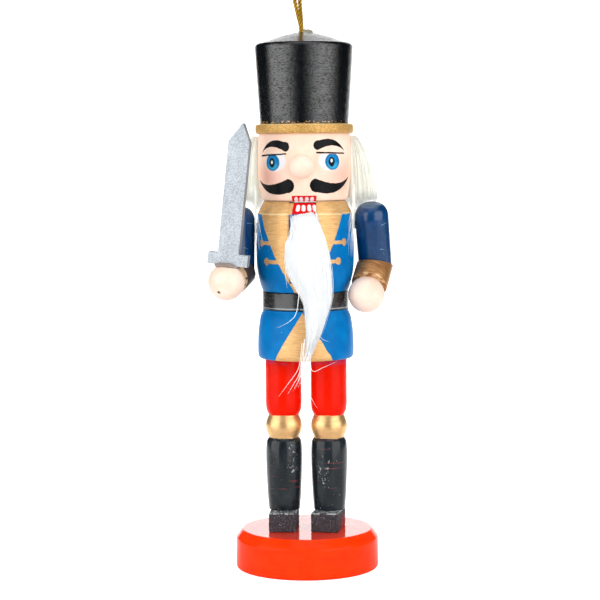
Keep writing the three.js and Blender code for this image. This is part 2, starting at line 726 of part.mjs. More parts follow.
// Takes a piece made along +Z from zero to its place along the forearm, starting at the elbow.
function forearmPlace() {
  const tip = new THREE.Matrix4().makeRotationX(Math.PI - BEND);
  return tip.setPosition(ELBOW);
}

// Everything on the hand's side of the mitre, which halves the bend at the elbow.
function beyondMitre(gap) {
  const half = block([-ARM_REACH, -ARM_REACH, gap / 2], [ARM_REACH, ARM_REACH, ARM_REACH]);
  const mitre = new THREE.Matrix4().makeRotationX(Math.PI - BEND / 2);
  return moved(half, mitre.setPosition(ELBOW));
}

function straightSleeve() {
  const dome = smooth(
    [
      [SLEEVE_RADIUS, SLEEVE_TOP - SLEEVE_DOME],
      [SLEEVE_RADIUS - 0.28, SLEEVE_TOP - SLEEVE_DOME * 0.52],
      [SLEEVE_RADIUS - 0.9, SLEEVE_TOP - SLEEVE_DOME * 0.18],
      [SLEEVE_FLAT_RADIUS, SLEEVE_TOP],
    ],
    6,
  );
  const foot = -UPPER_ARM - 2 * SLEEVE_RADIUS;
  const dowel = turned([[0, foot], [SLEEVE_RADIUS, foot], ...dome, [0, SLEEVE_TOP]], LIMB_FACETS);
  return dowel.subtract(beyondMitre(-GLUE_GAP));
}

function straightCuff() {
  const start = -2 * CUFF_RADIUS;
  const edge = 0.25;
  const hole = HAND_TENON_RADIUS + PEG_GAP;
  const dowel = turned(
    [
      [0, start],
      [CUFF_RADIUS, start],
      [CUFF_RADIUS, CUFF_LENGTH - edge],
      [CUFF_RADIUS - edge, CUFF_LENGTH],
      [0, CUFF_LENGTH],
    ],
    LIMB_FACETS,
  ).subtract(upright(hole, CUFF_LENGTH - HAND_TENON_DEPTH - HOLE_END_GAP, CUFF_LENGTH + CUT_MARGIN));
  return moved(dowel, forearmPlace()).intersect(beyondMitre(GLUE_GAP));
}

// A turned ball with a flat where it meets the cuff, and a tenon.
function straightHand() {
  const wrist = CUFF_LENGTH + GLUE_GAP;
  const ball = new THREE.SphereGeometry(HAND_RADIUS, 22, 14).rotateX(Math.PI / 2);
  const body = solid(ball.translate(0, 0, HAND_FROM_ELBOW));
  const behind = upright(HAND_RADIUS + 1, wrist - HAND_RADIUS, wrist, 0, 0, LIMB_FACETS);
  const tenon = upright(HAND_TENON_RADIUS, CUFF_LENGTH - HAND_TENON_DEPTH, HAND_FROM_ELBOW);
  return moved(body.subtract(behind).add(tenon), forearmPlace());
}

function shoulderOf(arm) {
  const x = arm.side * (CHEST_RADIUS + SHOULDER_GAP + SLEEVE_RADIUS);
  return new THREE.Vector3(x, 0, NECK - arm.belowNeck);
}

function handOf(arm) {
  const centre = new THREE.Vector3(0, 0, HAND_FROM_ELBOW).applyMatrix4(forearmPlace());
  return centre.applyMatrix4(restingPose(arm));
}

// The socket in the sleeve's inner side, in the arm's resting pose.
function shoulderSocket(arm) {
  const depth = SHOULDER_PEG_IN_SLEEVE + HOLE_END_GAP - SLEEVE_RADIUS;
  const bore = crosswise(SHOULDER_PEG_RADIUS + RUNNING_GAP, -SLEEVE_RADIUS - CUT_MARGIN, depth);
  return bore.scale([arm.side, 1, 1]);
}

// ---------------------------------------------------------------------------------------------------
// Sword
// ---------------------------------------------------------------------------------------------------

// The sword is cut from flat board. Its outline runs up +Z from the hand's centre, and it is centred on
// its own thickness.
function boardOutline(points) {
  const outline = new THREE.Shape(points.map(([x, z]) => new THREE.Vector2(x, z)));
  const board = new THREE.ExtrudeGeometry(outline, { depth: SWORD_THICKNESS, bevelEnabled: false });
  return solid(board.rotateX(Math.PI / 2).translate(0, SWORD_THICKNESS / 2, 0));
}

function straightSword() {
  const guardFoot = GUARD_ABOVE_HAND;
  const guardTop = guardFoot + GUARD_HEIGHT;
  const shoulder = guardTop + BLADE_LENGTH;
  return boardOutline([
    [-TANG_WIDTH / 2, guardFoot - TANG_LENGTH],
    [TANG_WIDTH / 2, guardFoot - TANG_LENGTH],
    [TANG_WIDTH / 2, guardFoot],
    [GUARD_WIDTH / 2, guardFoot],
    [GUARD_WIDTH / 2, guardTop],
    [BLADE_WIDTH / 2, guardTop],
    [BLADE_WIDTH / 2, shoulder],
    [BLADE_WIDTH * 0.1, shoulder + POINT_LENGTH],
    [-BLADE_WIDTH / 2, shoulder],
    [-BLADE_WIDTH / 2, guardTop],
    [-GUARD_WIDTH / 2, guardTop],
    [-GUARD_WIDTH / 2, guardFoot],
    [-TANG_WIDTH / 2, guardFoot],
  ]);
}

// What is cut out of the hand for the tang and for the guard to sit down on it.
function straightSwordSeat() {
  const depth = SWORD_THICKNESS / 2 + GLUE_GAP;
  const tang = TANG_WIDTH / 2 + GLUE_GAP;
  const floor = GUARD_ABOVE_HAND - TANG_LENGTH - GLUE_GAP;
  const slot = block([-tang, -depth, floor], [tang, depth, HAND_RADIUS + CUT_MARGIN]);
  const seat = GUARD_ABOVE_HAND - GLUE_GAP;
  const top = HAND_RADIUS + CUT_MARGIN;
  const trim = block([-HAND_RADIUS, -HAND_RADIUS, seat], [HAND_RADIUS, HAND_RADIUS, top]);
  return slot.add(trim);
}

function swordPlace(arm) {
  const { degToRad } = THREE.MathUtils;
  const angles = new THREE.Euler(0, degToRad(SWORD_TILT), degToRad(SWORD_TURN), 'ZYX');
  return new THREE.Matrix4().makeRotationFromEuler(angles).setPosition(handOf(arm));
}

for (const { name, arm } of SIDES) {
  const pose = restingPose(arm);
  const shoulder = shoulderOf(arm);
  const sleeve = moved(straightSleeve(), pose).subtract(shoulderSocket(arm));
  const cuff = moved(straightCuff(), pose);
  let hand = moved(straightHand(), pose);
  if (arm === RIGHT_ARM) hand = hand.subtract(moved(straightSwordSeat(), swordPlace(arm)));
  const pieces = [
    addPiece(`${name}_sleeve`, sleeve, FINISH.sleevePaint),
    addPiece(`${name}_cuff`, cuff, FINISH.goldPaint),
    addPiece(`${name}_hand`, hand, FINISH.skinPaint),
  ];
  if (arm === RIGHT_ARM) {
    pieces.push(addPiece('sword', moved(straightSword(), swordPlace(arm)), FINISH.silverPaint));
  }
  for (const mesh of pieces) mesh.position.copy(shoulder);

  const inner = CHEST_RADIUS - SHOULDER_PEG_IN_TORSO;
  const outer = CHEST_RADIUS + SHOULDER_GAP + SHOULDER_PEG_IN_SLEEVE;
  const peg = crosswise(SHOULDER_PEG_RADIUS, inner, outer).scale([arm.side, 1, 1]);
  addPiece(`${name}_shoulder_pin`, peg, FINISH.sleevePaint, shoulder.z);
}

export default figure;
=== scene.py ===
import math
import random

import bpy
from mathutils import Matrix, Vector


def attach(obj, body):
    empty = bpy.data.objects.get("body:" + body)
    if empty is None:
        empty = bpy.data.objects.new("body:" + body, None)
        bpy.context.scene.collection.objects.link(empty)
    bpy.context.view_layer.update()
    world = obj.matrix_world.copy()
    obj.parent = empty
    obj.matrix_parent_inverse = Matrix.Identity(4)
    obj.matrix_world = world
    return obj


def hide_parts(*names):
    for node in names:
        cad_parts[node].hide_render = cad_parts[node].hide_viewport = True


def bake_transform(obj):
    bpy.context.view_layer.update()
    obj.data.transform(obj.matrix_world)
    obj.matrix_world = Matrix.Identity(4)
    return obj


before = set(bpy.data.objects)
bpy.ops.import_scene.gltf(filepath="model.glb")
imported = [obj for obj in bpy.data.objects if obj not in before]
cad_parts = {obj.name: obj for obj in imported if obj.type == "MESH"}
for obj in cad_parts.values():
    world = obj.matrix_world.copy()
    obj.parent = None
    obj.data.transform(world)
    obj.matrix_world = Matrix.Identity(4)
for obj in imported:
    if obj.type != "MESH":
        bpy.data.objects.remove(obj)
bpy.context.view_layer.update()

# ---------------------------------------------------------------------------------------------------
# Camera. It stands nearly half a metre in front of the figure, at the height of the chin, turned a
# little towards the figure's left and tipped slightly down.
# ---------------------------------------------------------------------------------------------------

MM = 0.001
camera_data = bpy.data.cameras.new("front_camera")
camera_data.sensor_width = 36
camera_data.lens = 112.2
camera_data.clip_start = 0.01
camera = bpy.data.objects.new("front_camera", camera_data)
bpy.context.scene.collection.objects.link(camera)
camera.matrix_world = (
    Matrix.Rotation(math.radians(3.3), 4, "Z")
    @ Matrix.Translation(Vector((-1.3, -436, 96.7)) * MM)
    @ Matrix.Rotation(math.radians(90 - 4.43), 4, "X")
    @ Matrix.Rotation(math.radians(-0.43), 4, "Z")
)
bpy.context.scene.camera = camera

# ---------------------------------------------------------------------------------------------------
# Hanging cord. One length of thin three-strand cord spun from gold foil thread, folded into a loop.
# Both ends are pushed down the hole in the tip of the hat.
# ---------------------------------------------------------------------------------------------------

HAT_TIP = 125.25
CORD_DIAMETER = 1.0
CORD_POINTS = [
    (-0.5, -0.62, -5), (-0.5, -0.62, -2), (-0.62, -0.62, 1), (-1.2, -0.5, 3.5), (-2, -0.3, 7),
    (-2.9, -0.12, 12), (-4, 0, 18), (-5.4, 0, 25), (-6.6, 0, 31), (-6.9, 0, 35), (-6.1, 0, 38.4),
    (-4.2, 0, 40), (-2.3, 0, 38.6), (-1.2, 0, 35), (-1, 0, 31), (-1.15, 0, 25), (-1.25, 0, 18),
    (-1.15, 0.12, 12), (-0.85, 0.3, 7), (-0.62, 0.5, 3.5), (-0.5, 0.62, 1), (-0.5, 0.62, -2),
    (-0.5, 0.62, -5),
]


def smooth_line(points, steps):
    """A smooth line through the points, with the same number of steps between each two."""
    points = [Vector(point) for point in points]
    ends = [points[0] * 2 - points[1]] + points + [points[-1] * 2 - points[-2]]
    line = []
    for before, start, end, after in zip(ends, ends[1:], ends[2:], ends[3:]):
        for step in range(steps):
            t = step / steps
            bend = before * 2 - start * 5 + end * 4 - after
            twist = start * 3 - before - end * 3 + after
            line.append((start * 2 + (end - before) * t + bend * t * t + twist * t ** 3) / 2)
    return line + [points[-1]]


def mesh_piece(name, vertices, faces):
    """A new object from a list of points in metres and a list of faces."""
    mesh = bpy.data.meshes.new(name)
    mesh.from_pydata(vertices, [], faces)
    piece = bpy.data.objects.new(name, mesh)
    bpy.context.scene.collection.objects.link(piece)
    return piece


def ring_faces(first, sides):
    """The faces between one ring of points, counted from its first point, and the next ring."""
    return [
        (first + side, first + after, first + sides + after, first + sides + side)
        for side, after in ((side, (side + 1) % sides) for side in range(sides))
    ]


def three_strand_radius(angle):
    """How far out the cord's skin is at this angle, for three round strands laid together."""
    strand, out = 0.232 * CORD_DIAMETER, 0.268 * CORD_DIAMETER
    aside = (angle + math.pi / 3) % (math.pi * 2 / 3) - math.pi / 3
    inside = max(strand ** 2 - (out * math.sin(aside)) ** 2, 0)
    return max(out * math.cos(aside) + math.sqrt(inside), 0.31 * CORD_DIAMETER)


CORD_TURN = 2.6
CORD_SIDES = 18
cord_line = smooth_line([Vector((x, y, z + HAT_TIP)) for x, y, z in CORD_POINTS], 32)
cord_run = [0.0]
for start, end in zip(cord_line, cord_line[1:]):
    cord_run.append(cord_run[-1] + (end - start).length)
cord_vertices, cord_faces, cord_lay = [], [], []
across = Vector((1, 0, 0))
for index, (centre, run) in enumerate(zip(cord_line, cord_run)):
    ahead = (cord_line[min(index + 1, len(cord_line) - 1)] - cord_line[max(index - 1, 0)]).normalized()
    across = (across - ahead * across.dot(ahead)).normalized()
    aside = ahead.cross(across)
    for side in range(CORD_SIDES):
        angle = side / CORD_SIDES * 2 * math.pi
        lay = angle - run / CORD_TURN * 2 * math.pi
        reach = three_strand_radius(lay)
        point = centre + (across * math.cos(angle) + aside * math.sin(angle)) * reach
        cord_vertices.append(point * MM)
        cord_lay.append((lay, run))
    if index:
        cord_faces += ring_faces((index - 1) * CORD_SIDES, CORD_SIDES)
last_ring = (len(cord_line) - 1) * CORD_SIDES
cord_faces.append(tuple(reversed(range(CORD_SIDES))))
cord_faces.append(tuple(range(last_ring, last_ring + CORD_SIDES)))
hanging_loop = mesh_piece("hanging_loop", cord_vertices, cord_faces)
hanging_loop.data.polygons.foreach_set("use_smooth", [True] * len(hanging_loop.data.polygons))
lay_attribute = hanging_loop.data.attributes.new("strand_lay", "FLOAT", "POINT")
lay_attribute.data.foreach_set("value", [math.cos(3 * lay) for lay, run in cord_lay])
run_attribute = hanging_loop.data.attributes.new("cord_run", "FLOAT", "POINT")
run_attribute.data.foreach_set("value", [run + lay / 6 for lay, run in cord_lay])


def shade(red, green, blue):
    """A paint's colour, each part from 0 to 255."""
    parts = [part / 255 for part in (red, green, blue)]
    return tuple(p / 12.92 if p < 0.04 else ((p + 0.055) / 1.055) ** 2.4 for p in parts)


def feed(tree, socket, value):
    """Sets an input to a number or a colour, or joins it to another node's output."""
    if isinstance(value, bpy.types.NodeSocket):
        tree.links.new(value, socket)
    elif socket.type == "RGBA" and len(value) == 3:
        socket.default_value = (*value, 1)
    else:
        socket.default_value = value


def node(tree, kind, inputs=(), output=0, **settings):
    """Adds a node with its settings, feeds its inputs, and gives back one of its outputs."""
    made = tree.nodes.new(kind)
    for name, value in settings.items():
        setattr(made, name, value)
    for name, value in dict(inputs).items():
        feed(tree, made.inputs[name], value)
    return made.outputs[output]


def sum_of(tree, operation, *values, clamp=False):
    """One step of arithmetic on values that change over the surface."""
    return node(tree, "ShaderNodeMath", dict(enumerate(values)), operation=operation, use_clamp=clamp)


def add(tree, *values, clamp=False):
    """The sum of two values."""
    return sum_of(tree, "ADD", *values, clamp=clamp)


def multiply(tree, *values):
    """The product of two values."""
    return sum_of(tree, "MULTIPLY", *values)


def coat_over(tree, amount, under, over):
    """The colour over, laid on the colour under by an amount from 0 to 1."""
    return node(tree, "ShaderNodeMix", {0: amount, 6: under, 7: over}, 2, data_type="RGBA")


def between(tree, amount, low, high):
    """The number that lies between low and high by an amount from 0 to 1."""
    return node(tree, "ShaderNodeMapRange", {0: amount, 3: low, 4: high})


def stretched(tree, point, along):
    """The point, counted in millimetres times a number along each axis."""
    scale = tuple(times / MM for times in along)
    return node(tree, "ShaderNodeMapping", {"Vector": point, "Scale": scale})


def cloudy(tree, point, detail=3, roughness=0.55):
    """A soft random pattern from 0 to 1, with blotches about one unit across."""
    settings = {"Vector": point, "Scale": 1, "Detail": detail, "Roughness": roughness}
    return node(tree, "ShaderNodeTexNoise", settings)


def mottled(tree, place, along, detail=3, roughness=0.55):
    """A soft random pattern, with blotches about a millimetre across over the number along each axis."""
    return cloudy(tree, stretched(tree, place, along), detail, roughness)


def threshold(tree, value, start, end):
    """0 before start, 1 after end, and smooth between."""
    settings = {0: value, 1: start, 2: end}
    return node(tree, "ShaderNodeMapRange", settings, interpolation_type="SMOOTHSTEP")


def raised(tree, height, distance):
    """A normal that shows the height as relief of a distance in millimetres."""
    return node(tree, "ShaderNodeBump", {"Height": height, "Distance": distance * MM})


def finish(name, roughness=0.4, metallic=0.0, coat=0.0, shine=0.5):
    """A new finish: its material, its node tree, its surface shader and the place on the piece."""
    material = bpy.data.materials.new(name)
    material.use_nodes = True
    tree = material.node_tree
    tree.nodes.clear()
    surface = tree.nodes.new("ShaderNodeBsdfPrincipled")
    output = tree.nodes.new("ShaderNodeOutputMaterial")
    tree.links.new(surface.outputs[0], output.inputs["Surface"])
    surface.inputs["Roughness"].default_value = roughness
    surface.inputs["Metallic"].default_value = metallic
    surface.inputs["Coat Weight"].default_value = coat
    surface.inputs["Coat Roughness"].default_value = 0.08
    surface.inputs["Specular IOR Level"].default_value = shine
    place = node(tree, "ShaderNodeTexCoord", output="Object")
    return material, tree, surface.inputs, place


def paint_piece(piece, material, slot, body, *nodes):
    """Gives a finished piece its material, the body it moves with and the solids it stands for. The slot is
    not used.
    """
    piece.data.materials.clear()
    piece.data.materials.append(material)
    if nodes:
        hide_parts(*nodes)
    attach(piece, body)


gold_thread, tree, surface, place = finish("gold_thread", 0.3, 0.55)
lay = node(tree, "ShaderNodeAttribute", output="Fac", attribute_name="strand_lay")
run = node(tree, "ShaderNodeAttribute", output="Fac", attribute_name="cord_run")
thread = sum_of(tree, "SINE", multiply(tree, run, 34))
foil = mottled(tree, place, (5.5, 5.5, 5.5), 2)
glint = threshold(tree, add(tree, foil, multiply(tree, thread, 0.08)), 0.46, 0.6)
thread_colour = coat_over(tree, glint, shade(196, 130, 12), shade(255, 226, 70))
# Painted shade: the grooves between the three strands are darkened.
groove = threshold(tree, lay, -0.9, 0.1)
feed(tree, surface["Base Color"], coat_over(tree, groove, shade(120, 66, 4), thread_colour))
feed(tree, surface["Roughness"], between(tree, foil, 0.2, 0.5))
feed(tree, surface["Normal"], raised(tree, add(tree, thread, foil), 0.05))
paint_piece(hanging_loop, gold_thread, "gold_cord", "figure", "hanging_cord")

# ---------------------------------------------------------------------------------------------------
# Base. A thick disc turned from wood, with a wide chamfer round its top, sprayed with glossy
# orange-red lacquer. The fine rings that the turning tool left show through the lacquer.
# ---------------------------------------------------------------------------------------------------


def start_shaping(name, primitive, **settings):
    """Adds a primitive on its own, with nothing else selected, and opens it for editing."""
    bpy.ops.object.select_all(action="DESELECT")
    getattr(bpy.ops.mesh, primitive)(**settings)
    piece = bpy.context.object
    piece.name = piece.data.name = name
    bpy.ops.object.mode_set(mode="EDIT")
    bpy.ops.mesh.select_all(action="SELECT")
    return piece


def end_shaping(piece, sharp=35):
    """Closes the seams, turns the faces outwards and leaves edit mode, smooth up to the sharp angle."""
    bpy.ops.mesh.select_all(action="SELECT")
    bpy.ops.mesh.remove_doubles(threshold=0.002 * MM)
    bpy.ops.mesh.normals_make_consistent(inside=False)
    bpy.ops.object.mode_set(mode="OBJECT")
    bpy.ops.object.transform_apply(location=True, rotation=True, scale=True)
    bpy.ops.object.shade_smooth_by_angle(angle=math.radians(sharp))


def turned(name, profile, facets=96, sharp=35):
    """A piece turned about Z from pairs of radius and height in millimetres, going up."""
    piece = start_shaping(name, "primitive_plane_add", size=MM)
    bpy.ops.mesh.merge(type="CENTER")
    radius, height = profile[0]
    bpy.ops.transform.translate(value=(radius * MM, 0, height * MM))
    for (r0, z0), (r1, z1) in zip(profile, profile[1:]):
        step = ((r1 - r0) * MM, 0, (z1 - z0) * MM)
        bpy.ops.mesh.extrude_vertices_move(TRANSFORM_OT_translate={"value": step})
    bpy.ops.mesh.select_all(action="SELECT")
    bpy.ops.mesh.spin(steps=facets, angle=2 * math.pi, center=(0, 0, 0), axis=(0, 0, 1))
    end_shaping(piece, sharp)
    return piece


def soften_edges(piece, width, segments=2, angle=35):
    """Rounds the piece's sharp edges by a width in millimetres."""
    bpy.ops.object.select_all(action="DESELECT")
    piece.select_set(True)
    bpy.context.view_layer.objects.active = piece
    rounding = piece.modifiers.new("rounding", "BEVEL")
    rounding.width = width * MM
    rounding.segments = segments
    rounding.limit_method = "ANGLE"
    rounding.angle_limit = math.radians(angle)
    rounding.harden_normals = False
    bpy.ops.object.modifier_apply(modifier="rounding")
    bpy.ops.object.shade_smooth_by_angle(angle=math.radians(angle))


def effect(name, inputs, outputs):
    """A new node group. Inputs give each socket's value, or None for a place."""
    group = bpy.data.node_groups.new(name, "ShaderNodeTree")
    for socket, value in inputs.items():
        kind = "NodeSocketVector" if value is None else "NodeSocketFloat"
        made = group.interface.new_socket(socket, in_out="INPUT", socket_type=kind)
        if value is not None:
            made.default_value = value
    for socket in outputs:
        group.interface.new_socket(socket, in_out="OUTPUT", socket_type="NodeSocketFloat")
    return group, group.nodes.new("NodeGroupInput").outputs, group.nodes.new("NodeGroupOutput").inputs


def use(tree, group, inputs, output=0):
    """Places a node group in a finish with its own values."""
    return node(tree, "ShaderNodeGroup", inputs, output, node_tree=group)


def part_of(tree, place, axis):
    """How far a place lies along one axis."""
    return node(tree, "ShaderNodeSeparateXYZ", {0: place}, axis)


def divide(tree, *values):
    """The first value over the second."""
    return sum_of(tree, "DIVIDE", *values)


# Rings left by the turning tool, close together up the piece, and a slow wave in the lacquer.
tool_marks, given, result = effect("tool_marks", {"Place": None, "Rings": 4.0, "Wave": 0.35}, ["Height"])
parts = part_of(tool_marks, given["Place"], "Z")
level = multiply(tool_marks, parts, 1000)
ring_place = node(tool_marks, "ShaderNodeCombineXYZ", {2: multiply(tool_marks, level, given["Rings"])})
around = node(tool_marks, "ShaderNodeVectorMath", {0: given["Place"], 1: (120, 120, 0)}, operation="MULTIPLY")
rings = cloudy(tool_marks, node(tool_marks, "ShaderNodeVectorMath", {0: ring_place, 1: around}), 4, 0.6)
wave = mottled(tool_marks, given["Place"], (0.5, 0.5, 0.5), 2)
wave = multiply(tool_marks, wave, given["Wave"])
feed(tool_marks, result["Height"], add(tool_marks, rings, wave))

# Small dots of dust, bare wood or paint, scattered at random. Share is how many of the places have one.
specks, given, result = effect("specks", {"Place": None, "Spacing": 1.0, "Size": 0.1, "Share": 0.2}, ["Mask"])
scale = divide(specks, 1000, given["Spacing"])
cells = specks.nodes.new("ShaderNodeTexVoronoi")
feed(specks, cells.inputs["Vector"], given["Place"])
feed(specks, cells.inputs["Scale"], scale)
chance = node(specks, "ShaderNodeSeparateColor", {0: cells.outputs["Color"]}, "Red")
chosen = sum_of(specks, "LESS_THAN", chance, given["Share"])
size = divide(specks, given["Size"], given["Spacing"])
near = sum_of(specks, "LESS_THAN", cells.outputs["Distance"], size)
feed(specks, result["Mask"], multiply(specks, chosen, near))

turned_base = turned("turned_base", [(0, 0), (16.35, 0), (16.7, 0.35), (16.7, 7.1), (15.2, 9.2), (0, 9.2)])
soften_edges(turned_base, 0.28, 3, 15)
red_lacquer, tree, surface, place = finish("red_lacquer", 0.16, shine=0.08)
blotch = mottled(tree, place, (0.16, 0.16, 0.3), 4)
marks = use(tree, tool_marks, {"Place": place, "Rings": 3.2, "Wave": 0.5})
streak = threshold(tree, marks, 0.35, 0.85)
colour = coat_over(tree, blotch, shade(242, 30, 0), shade(255, 54, 0))
colour = coat_over(tree, between(tree, streak, 0, 0.3), colour, shade(255, 78, 22))
chips = use(tree, specks, {"Place": place, "Spacing": 2.2, "Size": 0.16, "Share": 0.1})
feed(tree, surface["Base Color"], coat_over(tree, between(tree, chips, 0, 0.7), colour, shade(120, 30, 20)))
feed(tree, surface["Normal"], raised(tree, marks, 0.035))
feed(tree, surface["Roughness"], between(tree, blotch, 0.1, 0.2))
height = part_of(tree, place, "Z")
feed(tree, surface["Coat Weight"], threshold(tree, height, 9.05 * MM, 9.15 * MM))
paint_piece(turned_base, red_lacquer, "red_paint", "figure", "base_disc")

# ---------------------------------------------------------------------------------------------------
# Shoes. Two small sawn blocks, left rough, dipped in black paint with a little glitter in it and glued
# to the base. The paint is rubbed through to pale wood along the top edges, and the left one has
# picked up red from the base.
# ---------------------------------------------------------------------------------------------------

SHOE_FOOT, SHOE_HIGH, SHOE_WIDE, SHOE_TOE, SHOE_HEEL = 9.2, 4.5, 6.3, 6.9, 3.7
LEG_AXIS = 5.3


def shoe_block(name, axis, turn):
    """One shoe, with its heel behind the leg's axis and its toe in front."""
    long = SHOE_TOE + SHOE_HEEL
    piece = start_shaping(name, "primitive_cube_add", size=1)
    bpy.ops.transform.resize(value=(SHOE_WIDE * MM, long * MM, SHOE_HIGH * MM))
    bpy.ops.transform.translate(value=(0, (SHOE_HEEL - SHOE_TOE) / 2 * MM, (SHOE_FOOT + SHOE_HIGH / 2) * MM))
    bpy.ops.mesh.subdivide(number_cuts=9)
    end_shaping(piece)
    rough = random.Random(name)
    for vertex in piece.data.vertices:
        if vertex.co.z > (SHOE_FOOT + 0.01) * MM:
            vertex.co += Vector([rough.uniform(-0.035, 0.035) * MM for axis_part in range(3)])
    soften_edges(piece, 0.22, 2, 50)
    piece.data.transform(Matrix.Translation((axis * MM, 0, 0)) @ Matrix.Rotation(math.radians(turn), 4, "Z"))
    return piece


def subtract(tree, *values, clamp=False):
    """The first value less the second."""
    return sum_of(tree, "SUBTRACT", *values, clamp=clamp)


# A broken band between two levels: paint rubbed away along an edge, and also a painted highlight along an
# edge.
wear_and_highlight_band, given, result = effect(
    "wear_and_highlight_band", {"Place": None, "Level": 0.0, "Reach": 0.5, "Grain": 2.0, "Amount": 0.5}, ["Mask"]
)
height = multiply(wear_and_highlight_band, part_of(wear_and_highlight_band, given["Place"], "Z"), 1000)
away = sum_of(wear_and_highlight_band, "ABSOLUTE", subtract(wear_and_highlight_band, height, given["Level"]))
close = subtract(wear_and_highlight_band, 1, divide(wear_and_highlight_band, away, given["Reach"]), clamp=True)
grain_scale = multiply(wear_and_highlight_band, given["Grain"], 1000)
grain = node(wear_and_highlight_band, "ShaderNodeTexNoise", {"Vector": given["Place"], "Scale": grain_scale, "Detail": 4})
worn = multiply(wear_and_highlight_band, close, multiply(wear_and_highlight_band, grain, 2))
worn = multiply(wear_and_highlight_band, worn, given["Amount"])
feed(wear_and_highlight_band, result["Mask"], threshold(wear_and_highlight_band, worn, 0.4, 0.52))


def wear_and_highlight_at(tree, place, level, reach, grain, amount):
    """A broken band about a level, for rubbed paint and for painted highlights along edges."""
    band = {"Place": place, "Level": level, "Reach": reach, "Grain": grain, "Amount": amount}
    return use(tree, wear_and_highlight_band, band)


def shoe_paint(name, red_smear):
    """Rough black paint with glitter, and red picked up low on the outer side of one shoe."""
    material, tree, surface, place = finish(name, 0.75)
    saw = mottled(tree, place, (3.5, 3.5, 1.4), 5, 0.7)
    colour = coat_over(tree, threshold(tree, saw, 0.35, 0.7), shade(22, 22, 26), shade(70, 68, 74))
    glitter = use(tree, specks, {"Place": place, "Spacing": 0.36, "Size": 0.1, "Share": 0.16})
    colour = coat_over(tree, between(tree, glitter, 0, 0.65), colour, shade(150, 150, 160))
    rubbed = wear_and_highlight_at(tree, place, 13.6, 0.7, 1.3, 0.5)
    colour = coat_over(tree, between(tree, rubbed, 0, 0.75), colour, shade(190, 198, 196))
    if red_smear:
        smear = mottled(tree, place, (0.5, 0.25, 0.8), 3)
        position = part_of(tree, place, "X")
        outside = threshold(tree, position, 7.9 * MM, 8.4 * MM)
        low = threshold(tree, part_of(tree, place, "Z"), 12.6 * MM, 9.8 * MM)
        amount = multiply(tree, multiply(tree, outside, low), threshold(tree, smear, 0.3, 0.55))
        colour = coat_over(tree, between(tree, amount, 0, 0.8), colour, shade(190, 40, 30))
    feed(tree, surface["Base Color"], colour)
    feed(tree, surface["Roughness"], between(tree, glitter, 0.8, 0.35))
    feed(tree, surface["Normal"], raised(tree, saw, 0.12))
    return material


for side, sign, turn in (("right", -1, -1), ("left", 1, -8)):
    shoe = shoe_block(f"{side}_shoe_block", sign * LEG_AXIS, turn)
    paint_piece(shoe, shoe_paint(f"{side}_shoe_paint", sign > 0), "shoe_paint", "figure", f"{side}_shoe")

# ---------------------------------------------------------------------------------------------------
# Legs. Each is one length of dowel with a boot, a knee bead and a thigh turned on it, brushed charcoal,
# gold and red. A glued peg joins it to its shoe and another to the body.
# ---------------------------------------------------------------------------------------------------

SHOE_TOP, KNEE_FOOT, KNEE_TOP, HIP = 13.7, 30.7, 36.15, 49.55


def smooth_profile(points, steps=4):
    """A smooth stretch of a turned profile through pairs of radius and height."""
    return [(point.x, point.y) for point in smooth_line([Vector(pair) for pair in points], steps)]


boot = smooth_profile([(3.65, 0), (3.96, 3.74), (4.27, 11.56), (4.15, 15.64), (3.57, 17)])
bead = smooth_profile([(3.52, 17.1), (4.1, 18.64), (4.25, 19.73), (4.1, 20.82), (3.52, 22.35)])
thigh = smooth_profile([(3.57, 22.45), (4.03, 23.45), (4.23, 25.05), (4.23, 27.5), (4.23, 35.5)])
leg_profile = [(0, 0), (3.5, 0), *boot, *bead, *thigh, (4.1, 35.85), (0, 35.85)]

# Across and up on a round surface, in millimetres: across runs round it from the front to its left,
# and up is counted from a level.
wrapped, given, result = effect(
    "wrapped", {"Place": None, "Axis": 0.0, "Radius": 10.0, "Level": 0.0}, ["Across", "Up"]
)
parts = wrapped.nodes.new("ShaderNodeSeparateXYZ")
feed(wrapped, parts.inputs[0], given["Place"])
sideways = subtract(wrapped, multiply(wrapped, parts.outputs["X"], 1000), given["Axis"])
forward = multiply(wrapped, parts.outputs["Y"], -1000)
angle = sum_of(wrapped, "ARCTAN2", sideways, forward)
feed(wrapped, result["Across"], multiply(wrapped, angle, given["Radius"]))
height = multiply(wrapped, parts.outputs["Z"], 1000)
feed(wrapped, result["Up"], subtract(wrapped, height, given["Level"]))

# One stroke of a brush or of a knife from one place to another. Its width runs from the half width at
# its start to the end width, and it may sag between its ends or curl at the far one.
stroke, given, result = effect(
    "stroke",
    {
        "Across": 0.0, "Up": 0.0, "From Across": 0.0, "From Up": 0.0, "To Across": 1.0, "To Up": 0.0,
        "Half Width": 0.5, "End Width": 0.5, "Taper": 1.0, "Sag": 0.0, "Curl": 0.0, "Edge": 0.08,
    },
    ["Mask"],
)
run_across = subtract(stroke, given["To Across"], given["From Across"])
run_up = subtract(stroke, given["To Up"], given["From Up"])
squares = add(stroke, multiply(stroke, run_across, run_across), multiply(stroke, run_up, run_up))
length = sum_of(stroke, "SQRT", squares)
ahead_across = divide(stroke, run_across, length)
ahead_up = divide(stroke, run_up, length)
away_across = subtract(stroke, given["Across"], given["From Across"])
away_up = subtract(stroke, given["Up"], given["From Up"])
along = add(stroke, multiply(stroke, away_across, ahead_across), multiply(stroke, away_up, ahead_up))
over = subtract(stroke, multiply(stroke, away_up, ahead_across), multiply(stroke, away_across, ahead_up))
over = multiply(stroke, over, sum_of(stroke, "SIGN", ahead_across))
share = divide(stroke, along, length)
held = add(stroke, share, 0, clamp=True)
rest = subtract(stroke, 1, held)
sag = multiply(stroke, multiply(stroke, given["Sag"], 4), multiply(stroke, held, rest))
curl = multiply(stroke, given["Curl"], sum_of(stroke, "POWER", held, 5))
